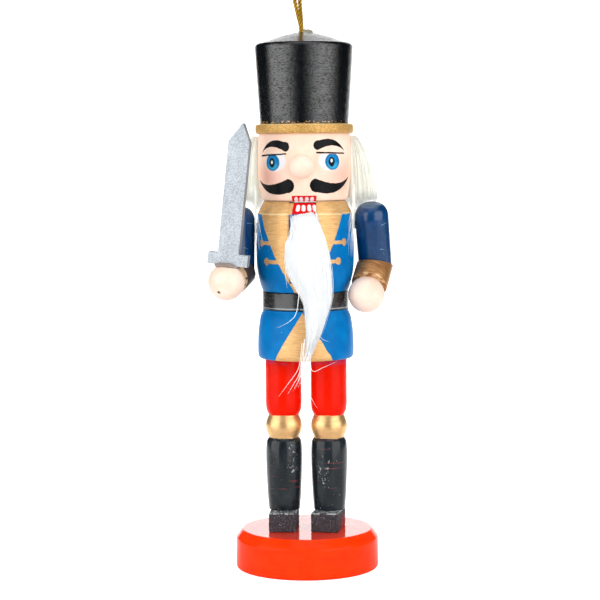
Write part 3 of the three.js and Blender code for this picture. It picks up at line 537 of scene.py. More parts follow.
off = subtract(stroke, over, add(stroke, sag, curl))
past = multiply(stroke, subtract(stroke, share, held), length)
distance = sum_of(stroke, "SQRT", add(stroke, multiply(stroke, off, off), multiply(stroke, past, past)))
wider = subtract(stroke, given["Half Width"], given["End Width"])
narrowing = multiply(stroke, wider, sum_of(stroke, "POWER", rest, given["Taper"]))
width = add(stroke, given["End Width"], narrowing)
inside = divide(stroke, subtract(stroke, width, distance), given["Edge"])
feed(stroke, result["Mask"], add(stroke, inside, 0.5, clamp=True))


def leg_paint(name, axis, marks_seed, knock_across, knock_up):
    """Charcoal boot, gold bead and red thigh, each brushed up to its groove, with a few knocks."""
    material, tree, surface, place = finish(name, 0.4, shine=0.08)
    surface["Coat Roughness"].default_value = 0.17
    wobble = subtract(tree, mottled(tree, place, (0.6, 0.6, 0.6), 2), 0.5)
    round_leg = {"Place": place, "Axis": axis, "Radius": 4.2}
    across = use(tree, wrapped, round_leg, "Across")
    up = use(tree, wrapped, round_leg, "Up")
    level = add(tree, up, multiply(tree, wobble, 0.5))
    marks = use(tree, tool_marks, {"Place": place, "Rings": 2.6, "Wave": 0.8})
    cloud = mottled(tree, place, (0.35, 0.35, 0.22), 4, 0.6)
    boot_colour = coat_over(tree, threshold(tree, cloud, 0.35, 0.7), shade(20, 27, 31), shade(36, 43, 48))
    scuff_place = node(tree, "ShaderNodeMapping", {"Vector": place, "Location": (marks_seed * MM, 0, 0)})
    aside = divide(tree, subtract(tree, across, knock_across), 1.7)
    above = divide(tree, subtract(tree, up, knock_up), 4.2)
    apart = add(tree, multiply(tree, aside, aside), multiply(tree, above, above))
    often = multiply(tree, threshold(tree, apart, 1.6, 0.2), 0.085)
    rubs = mottled(tree, scuff_place, (1.5, 1.5, 1.1), 5, 0.75)
    scuffs = threshold(tree, add(tree, rubs, often), 0.65, 0.69)
    dots = use(tree, specks, {"Place": scuff_place, "Spacing": 1.1, "Size": 0.11, "Share": 0.12})
    knocks = sum_of(tree, "MAXIMUM", scuffs, dots)
    boot_colour = coat_over(tree, between(tree, knocks, 0, 0.75), boot_colour, shade(178, 188, 186))
    line_place = stretched(tree, place, (0.12, 0.12, 1.9))
    red_lines = threshold(tree, cloudy(tree, line_place, 2), 0.68, 0.72)
    boot_colour = coat_over(tree, between(tree, red_lines, 0, 0.35), boot_colour, shade(170, 60, 70))
    brushed = mottled(tree, place, (0.5, 0.5, 2.2), 4, 0.6)
    gold = coat_over(tree, brushed, shade(206, 154, 92), shade(246, 210, 154))
    thigh_cloud = mottled(tree, place, (0.3, 0.3, 0.3), 3)
    red = coat_over(tree, thigh_cloud, shade(212, 14, 0), shade(240, 30, 2))
    worn = wear_and_highlight_at(tree, place, 48.6, 2.4, 0.3, 0.62)
    red = coat_over(tree, between(tree, worn, 0, 0.6), red, shade(206, 50, 84))
    above_boot = threshold(tree, level, KNEE_FOOT - 0.12, KNEE_FOOT + 0.12)
    above_bead = threshold(tree, level, KNEE_TOP - 0.16, KNEE_TOP + 0.06)
    colour = coat_over(tree, above_boot, boot_colour, gold)
    colour = coat_over(tree, above_bead, colour, red)
    feed(tree, surface["Base Color"], colour)
    bead_part = subtract(tree, above_boot, above_bead)
    feed(tree, surface["Metallic"], multiply(tree, bead_part, 0.8))
    feed(tree, surface["Coat Weight"], between(tree, above_boot, 0.5, 0))
    boot_rough = add(tree, 0.24, multiply(tree, knocks, 0.3))
    feed(tree, surface["Roughness"], between(tree, bead_part, boot_rough, 0.36))
    feed(tree, surface["Normal"], raised(tree, add(tree, marks, multiply(tree, knocks, 0.4)), 0.05))
    return material


for side, axis, seed, *knock in (("right", -LEG_AXIS, 0, 2.3, 26), ("left", LEG_AXIS, 37, -1.2, 22.5)):
    leg = turned(f"{side}_turned_leg", leg_profile, 64, 40)
    leg.data.transform(Matrix.Translation((axis * MM, 0, SHOE_TOP * MM)))
    paint_piece(leg, leg_paint(f"{side}_leg_paint", axis, seed, *knock), "leg_paint", "figure", f"{side}_leg")

# ---------------------------------------------------------------------------------------------------
# Body. One turned piece from the hem of the coat to the collar, with a groove for the belt and a slot
# cut from front to back for the jaw. The coat is painted blue, and the collar, lapels, buttons and the
# front of the skirt are brushed on in gold.
# ---------------------------------------------------------------------------------------------------

BELT_FOOT, CHEST_FOOT, COLLAR_FOOT, NECK = 60.95, 65.25, 83.15, 86.15
SLOT_HALF, SLOT_FLOOR = 3.1, 67.45
COAT_RADIUS = 11.3

skirt = smooth_profile([
    (10.7, 49.55), (11.12, 50.25), (11.2, 52.45), (11.05, 55.85), (10.6, 59.05), (10.02, 60.5), (10, 60.95)
])
chest = smooth_profile(
    [(9.95, 65.25), (10.69, 67.55), (11.28, 70.85), (11.38, 75.05), (11.26, 79.25), (11.02, 83.15)]
)
belt_groove = [(9.25, BELT_FOOT), (9.25, CHEST_FOOT)]
coat_profile = [(0, HIP), (10.4, HIP), *skirt, *belt_groove, *chest, (9.55, NECK), (0, NECK)]


def cut_away(piece, cutter):
    """Cuts one piece's shape out of another and removes the cutter."""
    bpy.ops.object.select_all(action="DESELECT")
    piece.select_set(True)
    bpy.context.view_layer.objects.active = piece
    cut = piece.modifiers.new("cut", "BOOLEAN")
    cut.operation = "DIFFERENCE"
    cut.solver = "EXACT"
    cut.object = cutter
    bpy.ops.object.modifier_apply(modifier="cut")
    bpy.data.objects.remove(cutter)


def block_between(name, low, high):
    """A plain block between two corners in millimetres, for cutting with."""
    piece = start_shaping(name, "primitive_cube_add", size=1)
    size = [(top - bottom) * MM for bottom, top in zip(low, high)]
    middle = [(top + bottom) / 2 * MM for bottom, top in zip(low, high)]
    bpy.ops.transform.resize(value=size)
    bpy.ops.transform.translate(value=middle)
    end_shaping(piece)
    return piece


turned_body = turned("turned_body", coat_profile, 96, 35)
cut_away(turned_body, block_between("slot_cutter", (-SLOT_HALF, -20, SLOT_FLOOR), (SLOT_HALF, 20, 90)))
soften_edges(turned_body, 0.12, 2, 30)

# One side of a straight edge of paint, running up from one place to another. The paint lies to the
# left of the line, seen along it.
paint_edge, given, result = effect(
    "paint_edge",
    {
        "Across": 0.0, "Up": 0.0, "From Across": 0.0, "From Up": 0.0, "To Across": 0.0, "To Up": 1.0,
        "Edge": 0.1,
    },
    ["Mask"],
)
edge_across = subtract(paint_edge, given["To Across"], given["From Across"])
edge_up = subtract(paint_edge, given["To Up"], given["From Up"])
left = multiply(paint_edge, edge_across, subtract(paint_edge, given["Up"], given["From Up"]))
right = multiply(paint_edge, edge_up, subtract(paint_edge, given["Across"], given["From Across"]))
squares = sum_of(
    paint_edge, "ADD", multiply(paint_edge, edge_across, edge_across), multiply(paint_edge, edge_up, edge_up)
)
beside = divide(paint_edge, subtract(paint_edge, left, right), sum_of(paint_edge, "SQRT", squares))
feed(paint_edge, result["Mask"], add(paint_edge, divide(paint_edge, beside, given["Edge"]), 0.5, clamp=True))

# Gold paint brushed round the piece: fine level streaks, closer and finer up the piece than round it.
gold_streaks, given, result = effect("gold_streaks", {"Place": None, "Fine": 4.5}, ["Streak", "Flake"])
fine = multiply(gold_streaks, given["Fine"], 1000)
brush_scale = node(gold_streaks, "ShaderNodeCombineXYZ", {0: 420, 1: 420, 2: fine})
brush_inputs = {0: given["Place"], 1: brush_scale}
brush_place = node(gold_streaks, "ShaderNodeVectorMath", brush_inputs, operation="MULTIPLY")
feed(gold_streaks, result["Streak"], cloudy(gold_streaks, brush_place, 4, 0.65))
flake = mottled(gold_streaks, given["Place"], (4.5, 4.5, 4.5), 3, 0.7)
feed(gold_streaks, result["Flake"], flake)


def gold_coat(tree, place, dark, middle, light):
    """The colour of brushed gold paint, between three shades."""
    streak = use(tree, gold_streaks, {"Place": place}, "Streak")
    flake = use(tree, gold_streaks, {"Place": place}, "Flake")
    colour = coat_over(tree, threshold(tree, streak, 0.3, 0.62), dark, middle)
    colour = coat_over(tree, threshold(tree, streak, 0.55, 0.78), colour, light)
    return coat_over(tree, between(tree, threshold(tree, flake, 0.5, 0.75), 0, 0.35), colour, light)


def strongest(tree, *masks):
    """The mask of everything that any of the masks covers."""
    total = masks[0]
    for mask in masks[1:]:
        total = sum_of(tree, "MAXIMUM", total, mask)
    return total


def both(tree, *masks):
    """The mask of what all the masks cover."""
    total = masks[0]
    for mask in masks[1:]:
        total = multiply(tree, total, mask)
    return total


coat_paint, tree, surface, place = finish("coat_paint", 0.36, shine=0.07)
round_coat = {"Place": place, "Radius": COAT_RADIUS, "Level": NECK}
shake = mottled(tree, place, (0.7, 0.7, 0.7), 3)
shake = multiply(tree, subtract(tree, shake, 0.5), 0.5)
across = add(tree, use(tree, wrapped, round_coat, "Across"), shake)
up = add(tree, use(tree, wrapped, round_coat, "Up"), shake)
on_coat = {"Across": across, "Up": up}


def edge_of(x0, y0, x1, y1):
    """Gold to the left of the line from one place on the coat to another."""
    return use(tree, paint_edge, {**on_coat, "From Across": x0, "From Up": y0, "To Across": x1, "To Up": y1})


def bar_of(x0, y0, x1, y1, half, end):
    """A brush stroke on the coat."""
    line = {"From Across": x0, "From Up": y0, "To Across": x1, "To Up": y1}
    return use(tree, stroke, {**on_coat, **line, "Half Width": half, "End Width": end})


collar = threshold(tree, up, -3.05, -2.85)
above_belt = threshold(tree, up, -21.2, -21)
lapel_right = both(tree, edge_of(5.6, -13.4, 11.2, -3.4), edge_of(2.9, -19, 5.6, -13.4))
lapel = both(tree, edge_of(-11.95, -3.4, -3.0, -19.4), lapel_right, above_belt)
buttons = []
for x, y, inner in ((-11.57, -9.57, -8.6), (-9.56, -13.81, -6.2), (10.84, -9.4, 7.6), (8.83, -13.73, 5)):
    buttons.append(bar_of(x, y, x + 0.01, y, 0.86, 0.86))
    buttons.append(bar_of(x, y, inner, y, 0.4, 0.45))
skirt_front = both(tree, edge_of(-0.1, -25.3, -6.95, -35.9), edge_of(6.95, -35.9, -0.3, -25.3))
skirt_front = both(tree, skirt_front, threshold(tree, up, -24.5, -24.8))
gold_mask = strongest(tree, collar, lapel, skirt_front, *buttons)
front = threshold(tree, part_of(tree, place, "Y"), 0.5 * MM, -0.5 * MM)
gold_mask = strongest(tree, collar, both(tree, gold_mask, front))
cloud = mottled(tree, place, (0.3, 0.3, 0.3), 4)
blue = coat_over(tree, threshold(tree, cloud, 0.3, 0.75), shade(0, 104, 172), shade(0, 120, 188))
dots = use(tree, specks, {"Place": place, "Spacing": 1.7, "Size": 0.11, "Share": 0.14})
blue = coat_over(tree, between(tree, dots, 0, 0.6), blue, shade(150, 195, 225))
gold = gold_coat(tree, place, shade(206, 154, 96), shade(224, 180, 122), shade(240, 204, 150))
ridge = wear_and_highlight_at(tree, place, COLLAR_FOOT + 0.1, 0.5, 0.3, 0.8)
gold = coat_over(tree, between(tree, ridge, 0, 0.6), gold, shade(250, 226, 180))
colour = coat_over(tree, gold_mask, blue, gold)
feed(tree, surface["Base Color"], colour)
feed(tree, surface["Metallic"], multiply(tree, gold_mask, 0.42))
streak = use(tree, gold_streaks, {"Place": place}, "Streak")
marks = use(tree, tool_marks, {"Place": place, "Rings": 2.2, "Wave": 0.9})
relief = add(tree, marks, multiply(tree, gold_mask, streak))
feed(tree, surface["Normal"], raised(tree, relief, 0.04))
feed(tree, surface["Roughness"], between(tree, gold_mask, 0.34, 0.44))
paint_piece(turned_body, coat_paint, "coat_paint", "figure", "torso")

# ---------------------------------------------------------------------------------------------------
# Belt. A strip of thin glossy black plastic, laid round in its groove and glued, with its two ends
# butted together a little to the right of the front.
# ---------------------------------------------------------------------------------------------------

belt_strip = start_shaping("belt_strip", "primitive_plane_add", size=1)
BELT_LOW, BELT_HIGH, BELT_INNER, BELT_OUTER = 61.1, 65.1, 9.35, 10.1
bpy.ops.transform.resize(value=((BELT_OUTER - BELT_INNER) * MM, (BELT_HIGH - BELT_LOW) * MM, 1))
bpy.ops.transform.rotate(value=math.pi / 2, orient_axis="X", center_override=(0, 0, 0))
bpy.ops.transform.translate(value=((BELT_INNER + BELT_OUTER) / 2 * MM, 0, (BELT_LOW + BELT_HIGH) / 2 * MM))
bpy.ops.mesh.delete(type="ONLY_FACE")
bpy.ops.mesh.select_all(action="SELECT")
joint_gap = math.radians(1.1)
bpy.ops.mesh.spin(steps=95, angle=2 * math.pi - joint_gap, center=(0, 0, 0), axis=(0, 0, 1))
bpy.ops.mesh.select_all(action="SELECT")
bpy.ops.mesh.fill_holes(sides=4)
end_shaping(belt_strip)
belt_strip.data.transform(Matrix.Rotation(math.radians(-90 - 5.5), 4, "Z"))
soften_edges(belt_strip, 0.12, 2, 50)
belt_plastic, tree, surface, place = finish("belt_plastic", 0.22, coat=0.4)
grain = mottled(tree, place, (0.7, 0.7, 2.4), 5, 0.65)
colour = coat_over(tree, threshold(tree, grain, 0.4, 0.75), shade(14, 15, 16), shade(44, 47, 48))
# A pale broken line just above the belt's lower edge is a painted highlight along that edge; pale dust specks
# are laid on with it.
lower_edge_highlight = wear_and_highlight_at(tree, place, 61.5, 0.3, 0.25, 0.75)
dust = use(tree, specks, {"Place": place, "Spacing": 1.3, "Size": 0.1, "Share": 0.2})
colour = coat_over(tree, between(tree, strongest(tree, lower_edge_highlight, dust), 0, 0.5), colour, shade(190, 200, 205))
feed(tree, surface["Base Color"], colour)
feed(tree, surface["Roughness"], between(tree, grain, 0.16, 0.4))
feed(tree, surface["Normal"], raised(tree, grain, 0.05))
paint_piece(belt_strip, belt_plastic, "belt_strip", "figure", "waist_belt")

# ---------------------------------------------------------------------------------------------------
# Jaw. A flat board that turns on a steel pin through the body. Its front edge is turned with the body
# and painted with the lower teeth on red, and the handle at the back is pressed to open the mouth.
# ---------------------------------------------------------------------------------------------------

PIN_LEVEL = 75.35
LEVER_WIDE = 6.5
LEVER_SIDE = [
    (-9.48, -4.9), (-10.98, -3.4), (-10.98, 7.8), (-10.7, 8.35), (-9.15, 10.5), (-4.15, 10.5), (0.4, 6.2),
    (12.28, 4.6), (14.18, 4), (14.98, 2.6), (15.48, -24.2), (14.88, -25.8), (12.88, -25.8), (12.28, -24.6),
    (12.28, -3.8), (8.38, -4.4),
]


def cut_board(name, outline, thickness, slices):
    """A board cut to an outline of Y and Z, and as thick as said along X, in equal slices."""
    piece = start_shaping(name, "primitive_plane_add", size=MM)
    bpy.ops.mesh.merge(type="CENTER")
    bpy.ops.transform.translate(value=(-thickness / 2 * MM, outline[0][0] * MM, outline[0][1] * MM))
    for (y0, z0), (y1, z1) in zip(outline, outline[1:]):
        step = (0, (y1 - y0) * MM, (z1 - z0) * MM)
        bpy.ops.mesh.extrude_vertices_move(TRANSFORM_OT_translate={"value": step})
    bpy.ops.mesh.select_all(action="SELECT")
    bpy.ops.mesh.edge_face_add()
    for part in range(slices):
        slide = {"value": (thickness / slices * MM, 0, 0)}
        bpy.ops.mesh.extrude_region_move(TRANSFORM_OT_translate=slide)
    end_shaping(piece)
    return piece


jaw_board = cut_board("jaw_board", LEVER_SIDE, LEVER_WIDE, 8)
for vertex in jaw_board.data.vertices:
    if vertex.co.y < -9 * MM:
        vertex.co.y += COAT_RADIUS * MM - math.sqrt((COAT_RADIUS * MM) ** 2 - vertex.co.x ** 2)
    vertex.co.z += PIN_LEVEL * MM
soften_edges(jaw_board, 0.14, 2, 30)
jaw_paint, tree, surface, place = finish("jaw_paint", 0.36, shine=0.07)
across = use(tree, wrapped, {"Place": place, "Radius": 10.4, "Level": NECK}, "Across")
up = use(tree, wrapped, {"Place": place, "Radius": 10.4, "Level": NECK}, "Up")
shake = multiply(tree, subtract(tree, mottled(tree, place, (1.1, 1.1, 1.1), 2), 0.5), 0.35)
across, up = (add(tree, value, shake) for value in (across, up))
cloud = mottled(tree, place, (0.3, 0.3, 0.3), 4)
blue = coat_over(tree, threshold(tree, cloud, 0.3, 0.75), shade(0, 92, 156), shade(0, 112, 178))
front = threshold(tree, part_of(tree, place, "Y"), -7.5 * MM, -8.5 * MM)
gum_edge = threshold(tree, across, -2.5, -2.2)
gums = both(tree, threshold(tree, up, -2.95, -2.75), gum_edge, front)
collar_gold = both(tree, threshold(tree, up, -3.1, -2.9), threshold(tree, across, -2.2, -2.4), front)
gold = gold_coat(tree, place, shade(206, 154, 96), shade(224, 180, 122), shade(240, 204, 150))
colour = coat_over(tree, collar_gold, blue, gold)
colour = coat_over(tree, gums, colour, shade(214, 14, 20))
teeth = []
for x in (-1.07, 0.25, 1.62, 2.9):
    tooth = {"From Across": x, "From Up": -1.2, "To Across": x + 0.01, "To Up": -1.78}
    tooth |= {"Across": across, "Up": up, "Half Width": 0.45, "End Width": 0.45, "Edge": 0.16}
    teeth.append(use(tree, stroke, tooth))
colour = coat_over(tree, both(tree, strongest(tree, *teeth), front), colour, shade(250, 240, 238))
feed(tree, surface["Base Color"], colour)
marks = use(tree, tool_marks, {"Place": place, "Rings": 1.6, "Wave": 1.2})
feed(tree, surface["Normal"], raised(tree, marks, 0.04))
feed(tree, surface["Roughness"], between(tree, cloud, 0.3, 0.48))
paint_piece(jaw_board, jaw_paint, "coat_paint", "jaw", "jaw_lever")

steel_wire, tree, surface, place = finish("steel_wire", 0.35, 1.0)
drawn = mottled(tree, place, (0.4, 8, 8), 3)
feed(tree, surface["Base Color"], coat_over(tree, drawn, shade(140, 142, 146), shade(200, 202, 205)))
feed(tree, surface["Roughness"], between(tree, drawn, 0.25, 0.5))


def paint_solid(name, material):
    """Gives a carried-over solid, one that stays hidden or nearly so, its own finish."""
    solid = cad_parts[name]
    solid.data.materials.clear()
    solid.data.materials.append(material)


paint_solid("jaw_pin", steel_wire)

# ---------------------------------------------------------------------------------------------------
# Head. A turned barrel on two glued dowels, sprayed flesh pink, with blushed cheeks. The eyes, brows,
# moustache and upper teeth are painted by hand round its front.
# ---------------------------------------------------------------------------------------------------

HEAD_RADIUS, HEAD_TOP = 10.9, 101.65
cheek_profile = smooth_profile(
    [(9.5, 0), (10.05, 0.7), (10.4, 2.6), (10.8, 5.4), (10.9, 8.68), (10.8, 14.1), (10.5, 15.5)]
)
head_profile = [(0, 0.02), (9.3, 0.02), *cheek_profile, (0, 15.5)]
turned_head = turned("turned_head", [(radius, height + NECK) for radius, height in head_profile], 112, 40)


def flesh(tree, place, low=(250, 210, 187), high=(255, 224, 205)):
    """Sprayed flesh paint, a little uneven."""
    cloud = mottled(tree, place, (0.22, 0.22, 0.22), 4)
    return coat_over(tree, threshold(tree, cloud, 0.3, 0.7), shade(*low), shade(*high))


face_paint, tree, surface, place = finish("face_paint", 0.42, shine=0.12)
round_head = {"Place": place, "Radius": HEAD_RADIUS, "Level": NECK}
across = use(tree, wrapped, round_head, "Across")
up = use(tree, wrapped, round_head, "Up")
shake = mottled(tree, place, (1.3, 1.3, 1.3), 2)
shake = multiply(tree, subtract(tree, shake, 0.5), 0.22)
across, up = (add(tree, value, shake) for value in (across, up))

# A painted oval, with an edge that may be sharp or sprayed soft.
oval, given, result = effect(
    "oval",
    {
        "Across": 0.0, "Up": 0.0, "Middle Across": 0.0, "Middle Up": 0.0, "Half Width": 1.0,
        "Half Height": 1.0, "Edge": 0.1,
    },
    ["Mask"],
)
beside = divide(oval, subtract(oval, given["Across"], given["Middle Across"]), given["Half Width"])
above = divide(oval, subtract(oval, given["Up"], given["Middle Up"]), given["Half Height"])
reach = sum_of(oval, "SQRT", add(oval, multiply(oval, beside, beside), multiply(oval, above, above)))
left = divide(oval, subtract(oval, 1, reach), given["Edge"])
feed(oval, result["Mask"], add(oval, left, 0.5, clamp=True))


def spot(x, y, half_width, half_height, edge=0.1):
    """An oval on the face."""
    middle = {"Across": across, "Up": up, "Middle Across": x, "Middle Up": y}
    return use(tree, oval, {**middle, "Half Width": half_width, "Half Height": half_height, "Edge": edge})


def brush(x0, y0, x1, y1, half, end, taper=1.0, sag=0.0, curl=0.0, edge=0.1):
    """A brush stroke on the face."""
    line = {"Across": across, "Up": up, "From Across": x0, "From Up": y0, "To Across": x1, "To Up": y1}
    shape = {"Half Width": half, "End Width": end, "Taper": taper, "Sag": sag, "Curl": curl, "Edge": edge}
    return use(tree, stroke, {**line, **shape})


colour = flesh(tree, place)
for x, y in ((-8.9, 5.4), (10.6, 5.9)):
    blush = multiply(tree, spot(x, y, 3.2, 2.4, 1.6), 0.4)
    colour = coat_over(tree, blush, colour, shade(244, 140, 122))
white = shade(238, 240, 246)
black = shade(4, 6, 8)
for x, y, pupil_x, pupil_y, glint_up in ((-7.45, 8.9, -7.6, 8.85, 0.1), (7.45, 9.05, 7.17, 9.0, 0.28)):
    inwards = -0.09 * x
    eye = spot(x + inwards, y + 0.2, 2.95, 2.2, 0.25)
    under_lid = threshold(tree, up, 10.85, 10.7)
    eye = both(tree, eye, under_lid)
    colour = coat_over(tree, multiply(tree, eye, 0.85), colour, white)
    iris = both(tree, spot(x, y, 2.02, 1.92, 0.1), under_lid)
    colour = coat_over(tree, iris, colour, shade(2, 92, 152))
    iris = both(tree, spot(x + 0.02, y - 0.06, 1.72, 1.62, 0.3), under_lid)
    colour = coat_over(tree, iris, colour, shade(6, 130, 192))
    crescent = both(tree, spot(x + 0.1, y - 0.55, 1.35, 1.1, 0.5), threshold(tree, up, y + 0.2, y - 0.9))
    colour = coat_over(tree, multiply(tree, crescent, 0.8), colour, shade(56, 176, 214))
    colour = coat_over(tree, spot(pupil_x, pupil_y, 0.84, 1.1, 0.18), colour, shade(5, 12, 22))
    glint = spot(pupil_x - 0.02, pupil_y + glint_up, 0.3, 0.4, 0.4)
    colour = coat_over(tree, glint, colour, shade(250, 250, 246))
ink = [
    brush(-11.56, 10.49, -3.76, 10.85, 0.2, 0.16),
    brush(3.42, 11.1, 11.26, 10.92, 0.2, 0.16),
    brush(-4.1, 12.42, -11.4, 11.1, 1.16, 0.02, 0.9, 1.35, 0),
    brush(3.8, 12.75, 11.4, 11.4, 1.14, 0.02, 0.9, 1.25, 0),
    brush(-3.55, 3.58, -13.6, 4.5, 1.62, 0.02, 0.72, -1.25, 0.35),
    brush(3.4, 3.68, 13.7, 5.25, 1.6, 0.02, 0.72, -1.35, 0.35),
]
ink_mask = strongest(tree, *ink)
# A dark line along the foot of the head: painted shade in the joint between head and collar, together with a
# dark line of glue.
joint_shade = multiply(tree, threshold(tree, up, 0.34, 0.1), 0.7)
colour = coat_over(tree, joint_shade, colour, shade(92, 58, 42))
lips = both(
    tree,
    threshold(tree, up, 1.4, 1.3), threshold(tree, across, -2.72, -2.57), threshold(tree, across, 3.6, 3.45),
)
colour = coat_over(tree, lips, colour, shade(206, 18, 26))
for x in (-1.56, -0.29, 1.07, 2.39):
    colour = coat_over(tree, spot(x, 0.42, 0.47, 0.62, 0.3), colour, shade(232, 208, 210))
brushed = mottled(tree, place, (1.2, 1.2, 1.2), 3)
ink_colour = coat_over(tree, threshold(tree, brushed, 0.5, 0.75), black, shade(14, 20, 25))
colour = coat_over(tree, ink_mask, colour, ink_colour)
feed(tree, surface["Base Color"], colour)
fine = use(tree, tool_marks, {"Place": place, "Rings": 2.5, "Wave": 0.8})
relief = add(tree, fine, multiply(tree, ink_mask, 1.2))
feed(tree, surface["Normal"], raised(tree, relief, 0.03))
feed(tree, surface["Roughness"], between(tree, ink_mask, 0.42, 0.34))
paint_piece(turned_head, face_paint, "skin_paint", "figure", "head")

# ---------------------------------------------------------------------------------------------------
# Nose. A small turned ball, glued by a peg to the middle of the face, in the same flesh paint with painted
# shade low on it.
# ---------------------------------------------------------------------------------------------------

NOSE_RADIUS = 2.75
nose_side = [(0.25, -0.97), (0.65, -0.76), (0.92, -0.39), (1, 0.02), (0.91, 0.42), (0.63, 0.78), (0.24, 0.97)]
nose_side = smooth_profile([(radius * NOSE_RADIUS, level * NOSE_RADIUS) for radius, level in nose_side])
nose_ball = turned("nose_ball", [(0, -NOSE_RADIUS), *nose_side, (0, NOSE_RADIUS)], 48, 60)
nose_middle = Vector((0, -(HEAD_RADIUS + 1.3), NECK + 8)) * MM
nose_ball.data.transform(Matrix.Translation(nose_middle) @ Matrix.Rotation(math.radians(90), 4, "X"))
nose_paint, tree, surface, place = finish("nose_paint", 0.4, shine=0.35)
colour = flesh(tree, place, (252, 216, 194), (255, 228, 210))
# Painted shade: the lower part of the ball is darkened a little.
shade_below = threshold(tree, part_of(tree, place, "Z"), (NECK + 8.6) * MM, (NECK + 5.6) * MM)
colour = coat_over(tree, multiply(tree, shade_below, 0.14), colour, shade(240, 184, 158))
feed(tree, surface["Base Color"], colour)
feed(tree, surface["Normal"], raised(tree, mottled(tree, place, (0.9, 0.9, 0.9), 3), 0.05))
paint_piece(nose_ball, nose_paint, "skin_paint", "figure", "nose")

# ---------------------------------------------------------------------------------------------------
# Hat. A gold disc for the brim, and on it a drum that widens upwards, with a rounded rim and a shallow
# domed top, in glossy black lacquer. Both are pinned to the head by one dowel. Glue holds the cord.
# ---------------------------------------------------------------------------------------------------

BRIM_TOP = 103.85
brim_profile = [
    (1.65, 0), (10.92, 0), (11.22, 0.12), (11.35, 0.42), (11.37, 1.1),
    (11.35, 1.78), (11.22, 2.08), (10.92, 2.2), (1.65, 2.2), (1.65, 0),
]
brim_disc = turned("brim_disc", [(radius, height + HEAD_TOP) for radius, height in brim_profile], 112, 40)
brim_gold, tree, surface, place = finish("brim_gold", 0.42, 0.35)
flake = use(tree, gold_streaks, {"Place": place}, "Flake")
glitter = mottled(tree, place, (3.4, 3.4, 3.4), 3, 0.8)
colour = coat_over(tree, threshold(tree, glitter, 0.3, 0.6), shade(166, 116, 52), shade(214, 168, 92))
colour = coat_over(tree, threshold(tree, glitter, 0.58, 0.7), colour, shade(255, 226, 152))
pale_edge = wear_and_highlight_at(tree, place, HEAD_TOP + 2.1, 0.35, 0.5, 0.7)
colour = coat_over(tree, between(tree, pale_edge, 0, 0.5), colour, shade(255, 236, 180))
feed(tree, surface["Base Color"], colour)
feed(tree, surface["Roughness"], between(tree, flake, 0.3, 0.6))
feed(tree, surface["Normal"], raised(tree, flake, 0.06))
paint_piece(brim_disc, brim_gold, "gold_paint", "figure", "hat_brim")

CROWN_RIM = [(11.36, 17.6), (11.32, 17.98), (11.12, 18.33), (10.78, 18.58), (10.3, 18.68)]
crown_dome = smooth_profile([(9.9, 18.74), (8.2, 19.35), (5.5, 20.25), (2.6, 20.98), (1.55, 21.15)])
crown_profile = [(0, 0), (10.15, 0), (10.3, 0.15), *CROWN_RIM, *crown_dome, (1.5, 15.4), (0, 15.4)]
crown_drum = turned("crown_drum", [(radius, height + BRIM_TOP) for radius, height in crown_profile], 112, 40)
hat_lacquer, tree, surface, place = finish("hat_lacquer", 0.2, coat=1.0, shine=0.12)
surface["Coat IOR"].default_value = 1.72
surface["Coat Roughness"].default_value = 0.09
marks = use(tree, tool_marks, {"Place": place, "Rings": 3.4, "Wave": 0.6})
cloud = mottled(tree, place, (0.8, 0.8, 1.6), 5, 0.7)
colour = coat_over(tree, threshold(tree, cloud, 0.45, 0.8), shade(2, 4, 6), shade(9, 16, 20))
dots = use(tree, specks, {"Place": place, "Spacing": 0.9, "Size": 0.09, "Share": 0.12})
colour = coat_over(tree, between(tree, dots, 0, 0.3), colour, shade(130, 146, 150))
dust = use(tree, specks, {"Place": place, "Spacing": 0.42, "Size": 0.17, "Share": 0.75})
dust_level = wear_and_highlight_at(tree, place, BRIM_TOP + 0.2, 0.7, 0.3, 1.0)
colour = coat_over(tree, both(tree, dust, dust_level), colour, shade(206, 158, 84))
feed(tree, surface["Base Color"], colour)
feed(tree, surface["Roughness"], between(tree, cloud, 0.1, 0.22))
grain = mottled(tree, place, (1.5, 1.5, 4.2), 3, 0.7)
thin_lacquer = add(tree, multiply(tree, marks, 0.2), multiply(tree, grain, 0.8))
feed(tree, surface["Coat Weight"], between(tree, threshold(tree, thin_lacquer, 0.4, 0.62), 0.1, 0.95))
relief = add(tree, multiply(tree, marks, 0.1), grain)
bumps = raised(tree, relief, 0.085)
feed(tree, surface["Normal"], bumps)
feed(tree, surface["Coat Normal"], bumps)
paint_piece(crown_drum, hat_lacquer, "hat_paint", "figure", "hat_crown")


def glue_lump(name, size, middle, seed):
    """A drop of glue, squeezed out and dried lumpy."""
    piece = start_shaping(name, "primitive_ico_sphere_add", subdivisions=4, radius=1)
    bpy.ops.transform.resize(value=[half * MM for half in size])
    end_shaping(piece, 180)
    chance = random.Random(seed)
    swellings = []
    for swelling in range(16):
        way = Vector([chance.uniform(-1, 1) for part in range(3)]).normalized()
        swellings.append((way, chance.uniform(-0.2, 0.22)))
    for vertex in piece.data.vertices:
        outward = vertex.co.normalized()
        vertex.co *= 1 + sum(swell * max(0, outward.dot(way)) ** 6 for way, swell in swellings)
    piece.data.transform(Matrix.Translation(Vector(middle) * MM))
    return piece


glue_drop = glue_lump("glue_drop", (1.75, 1.55, 0.75), (0.45, 0, BRIM_TOP + 21.1), 4)
dried_glue, tree, surface, place = finish("dried_glue", 0.35)
cloud = mottled(tree, place, (0.9, 0.9, 0.9), 4)
feed(tree, surface["Base Color"], coat_over(tree, cloud, shade(92, 88, 66), shade(176, 172, 146)))
feed(tree, surface["Normal"], raised(tree, cloud, 0.2))
paint_piece(glue_drop, dried_glue, "gold_cord", "figure")

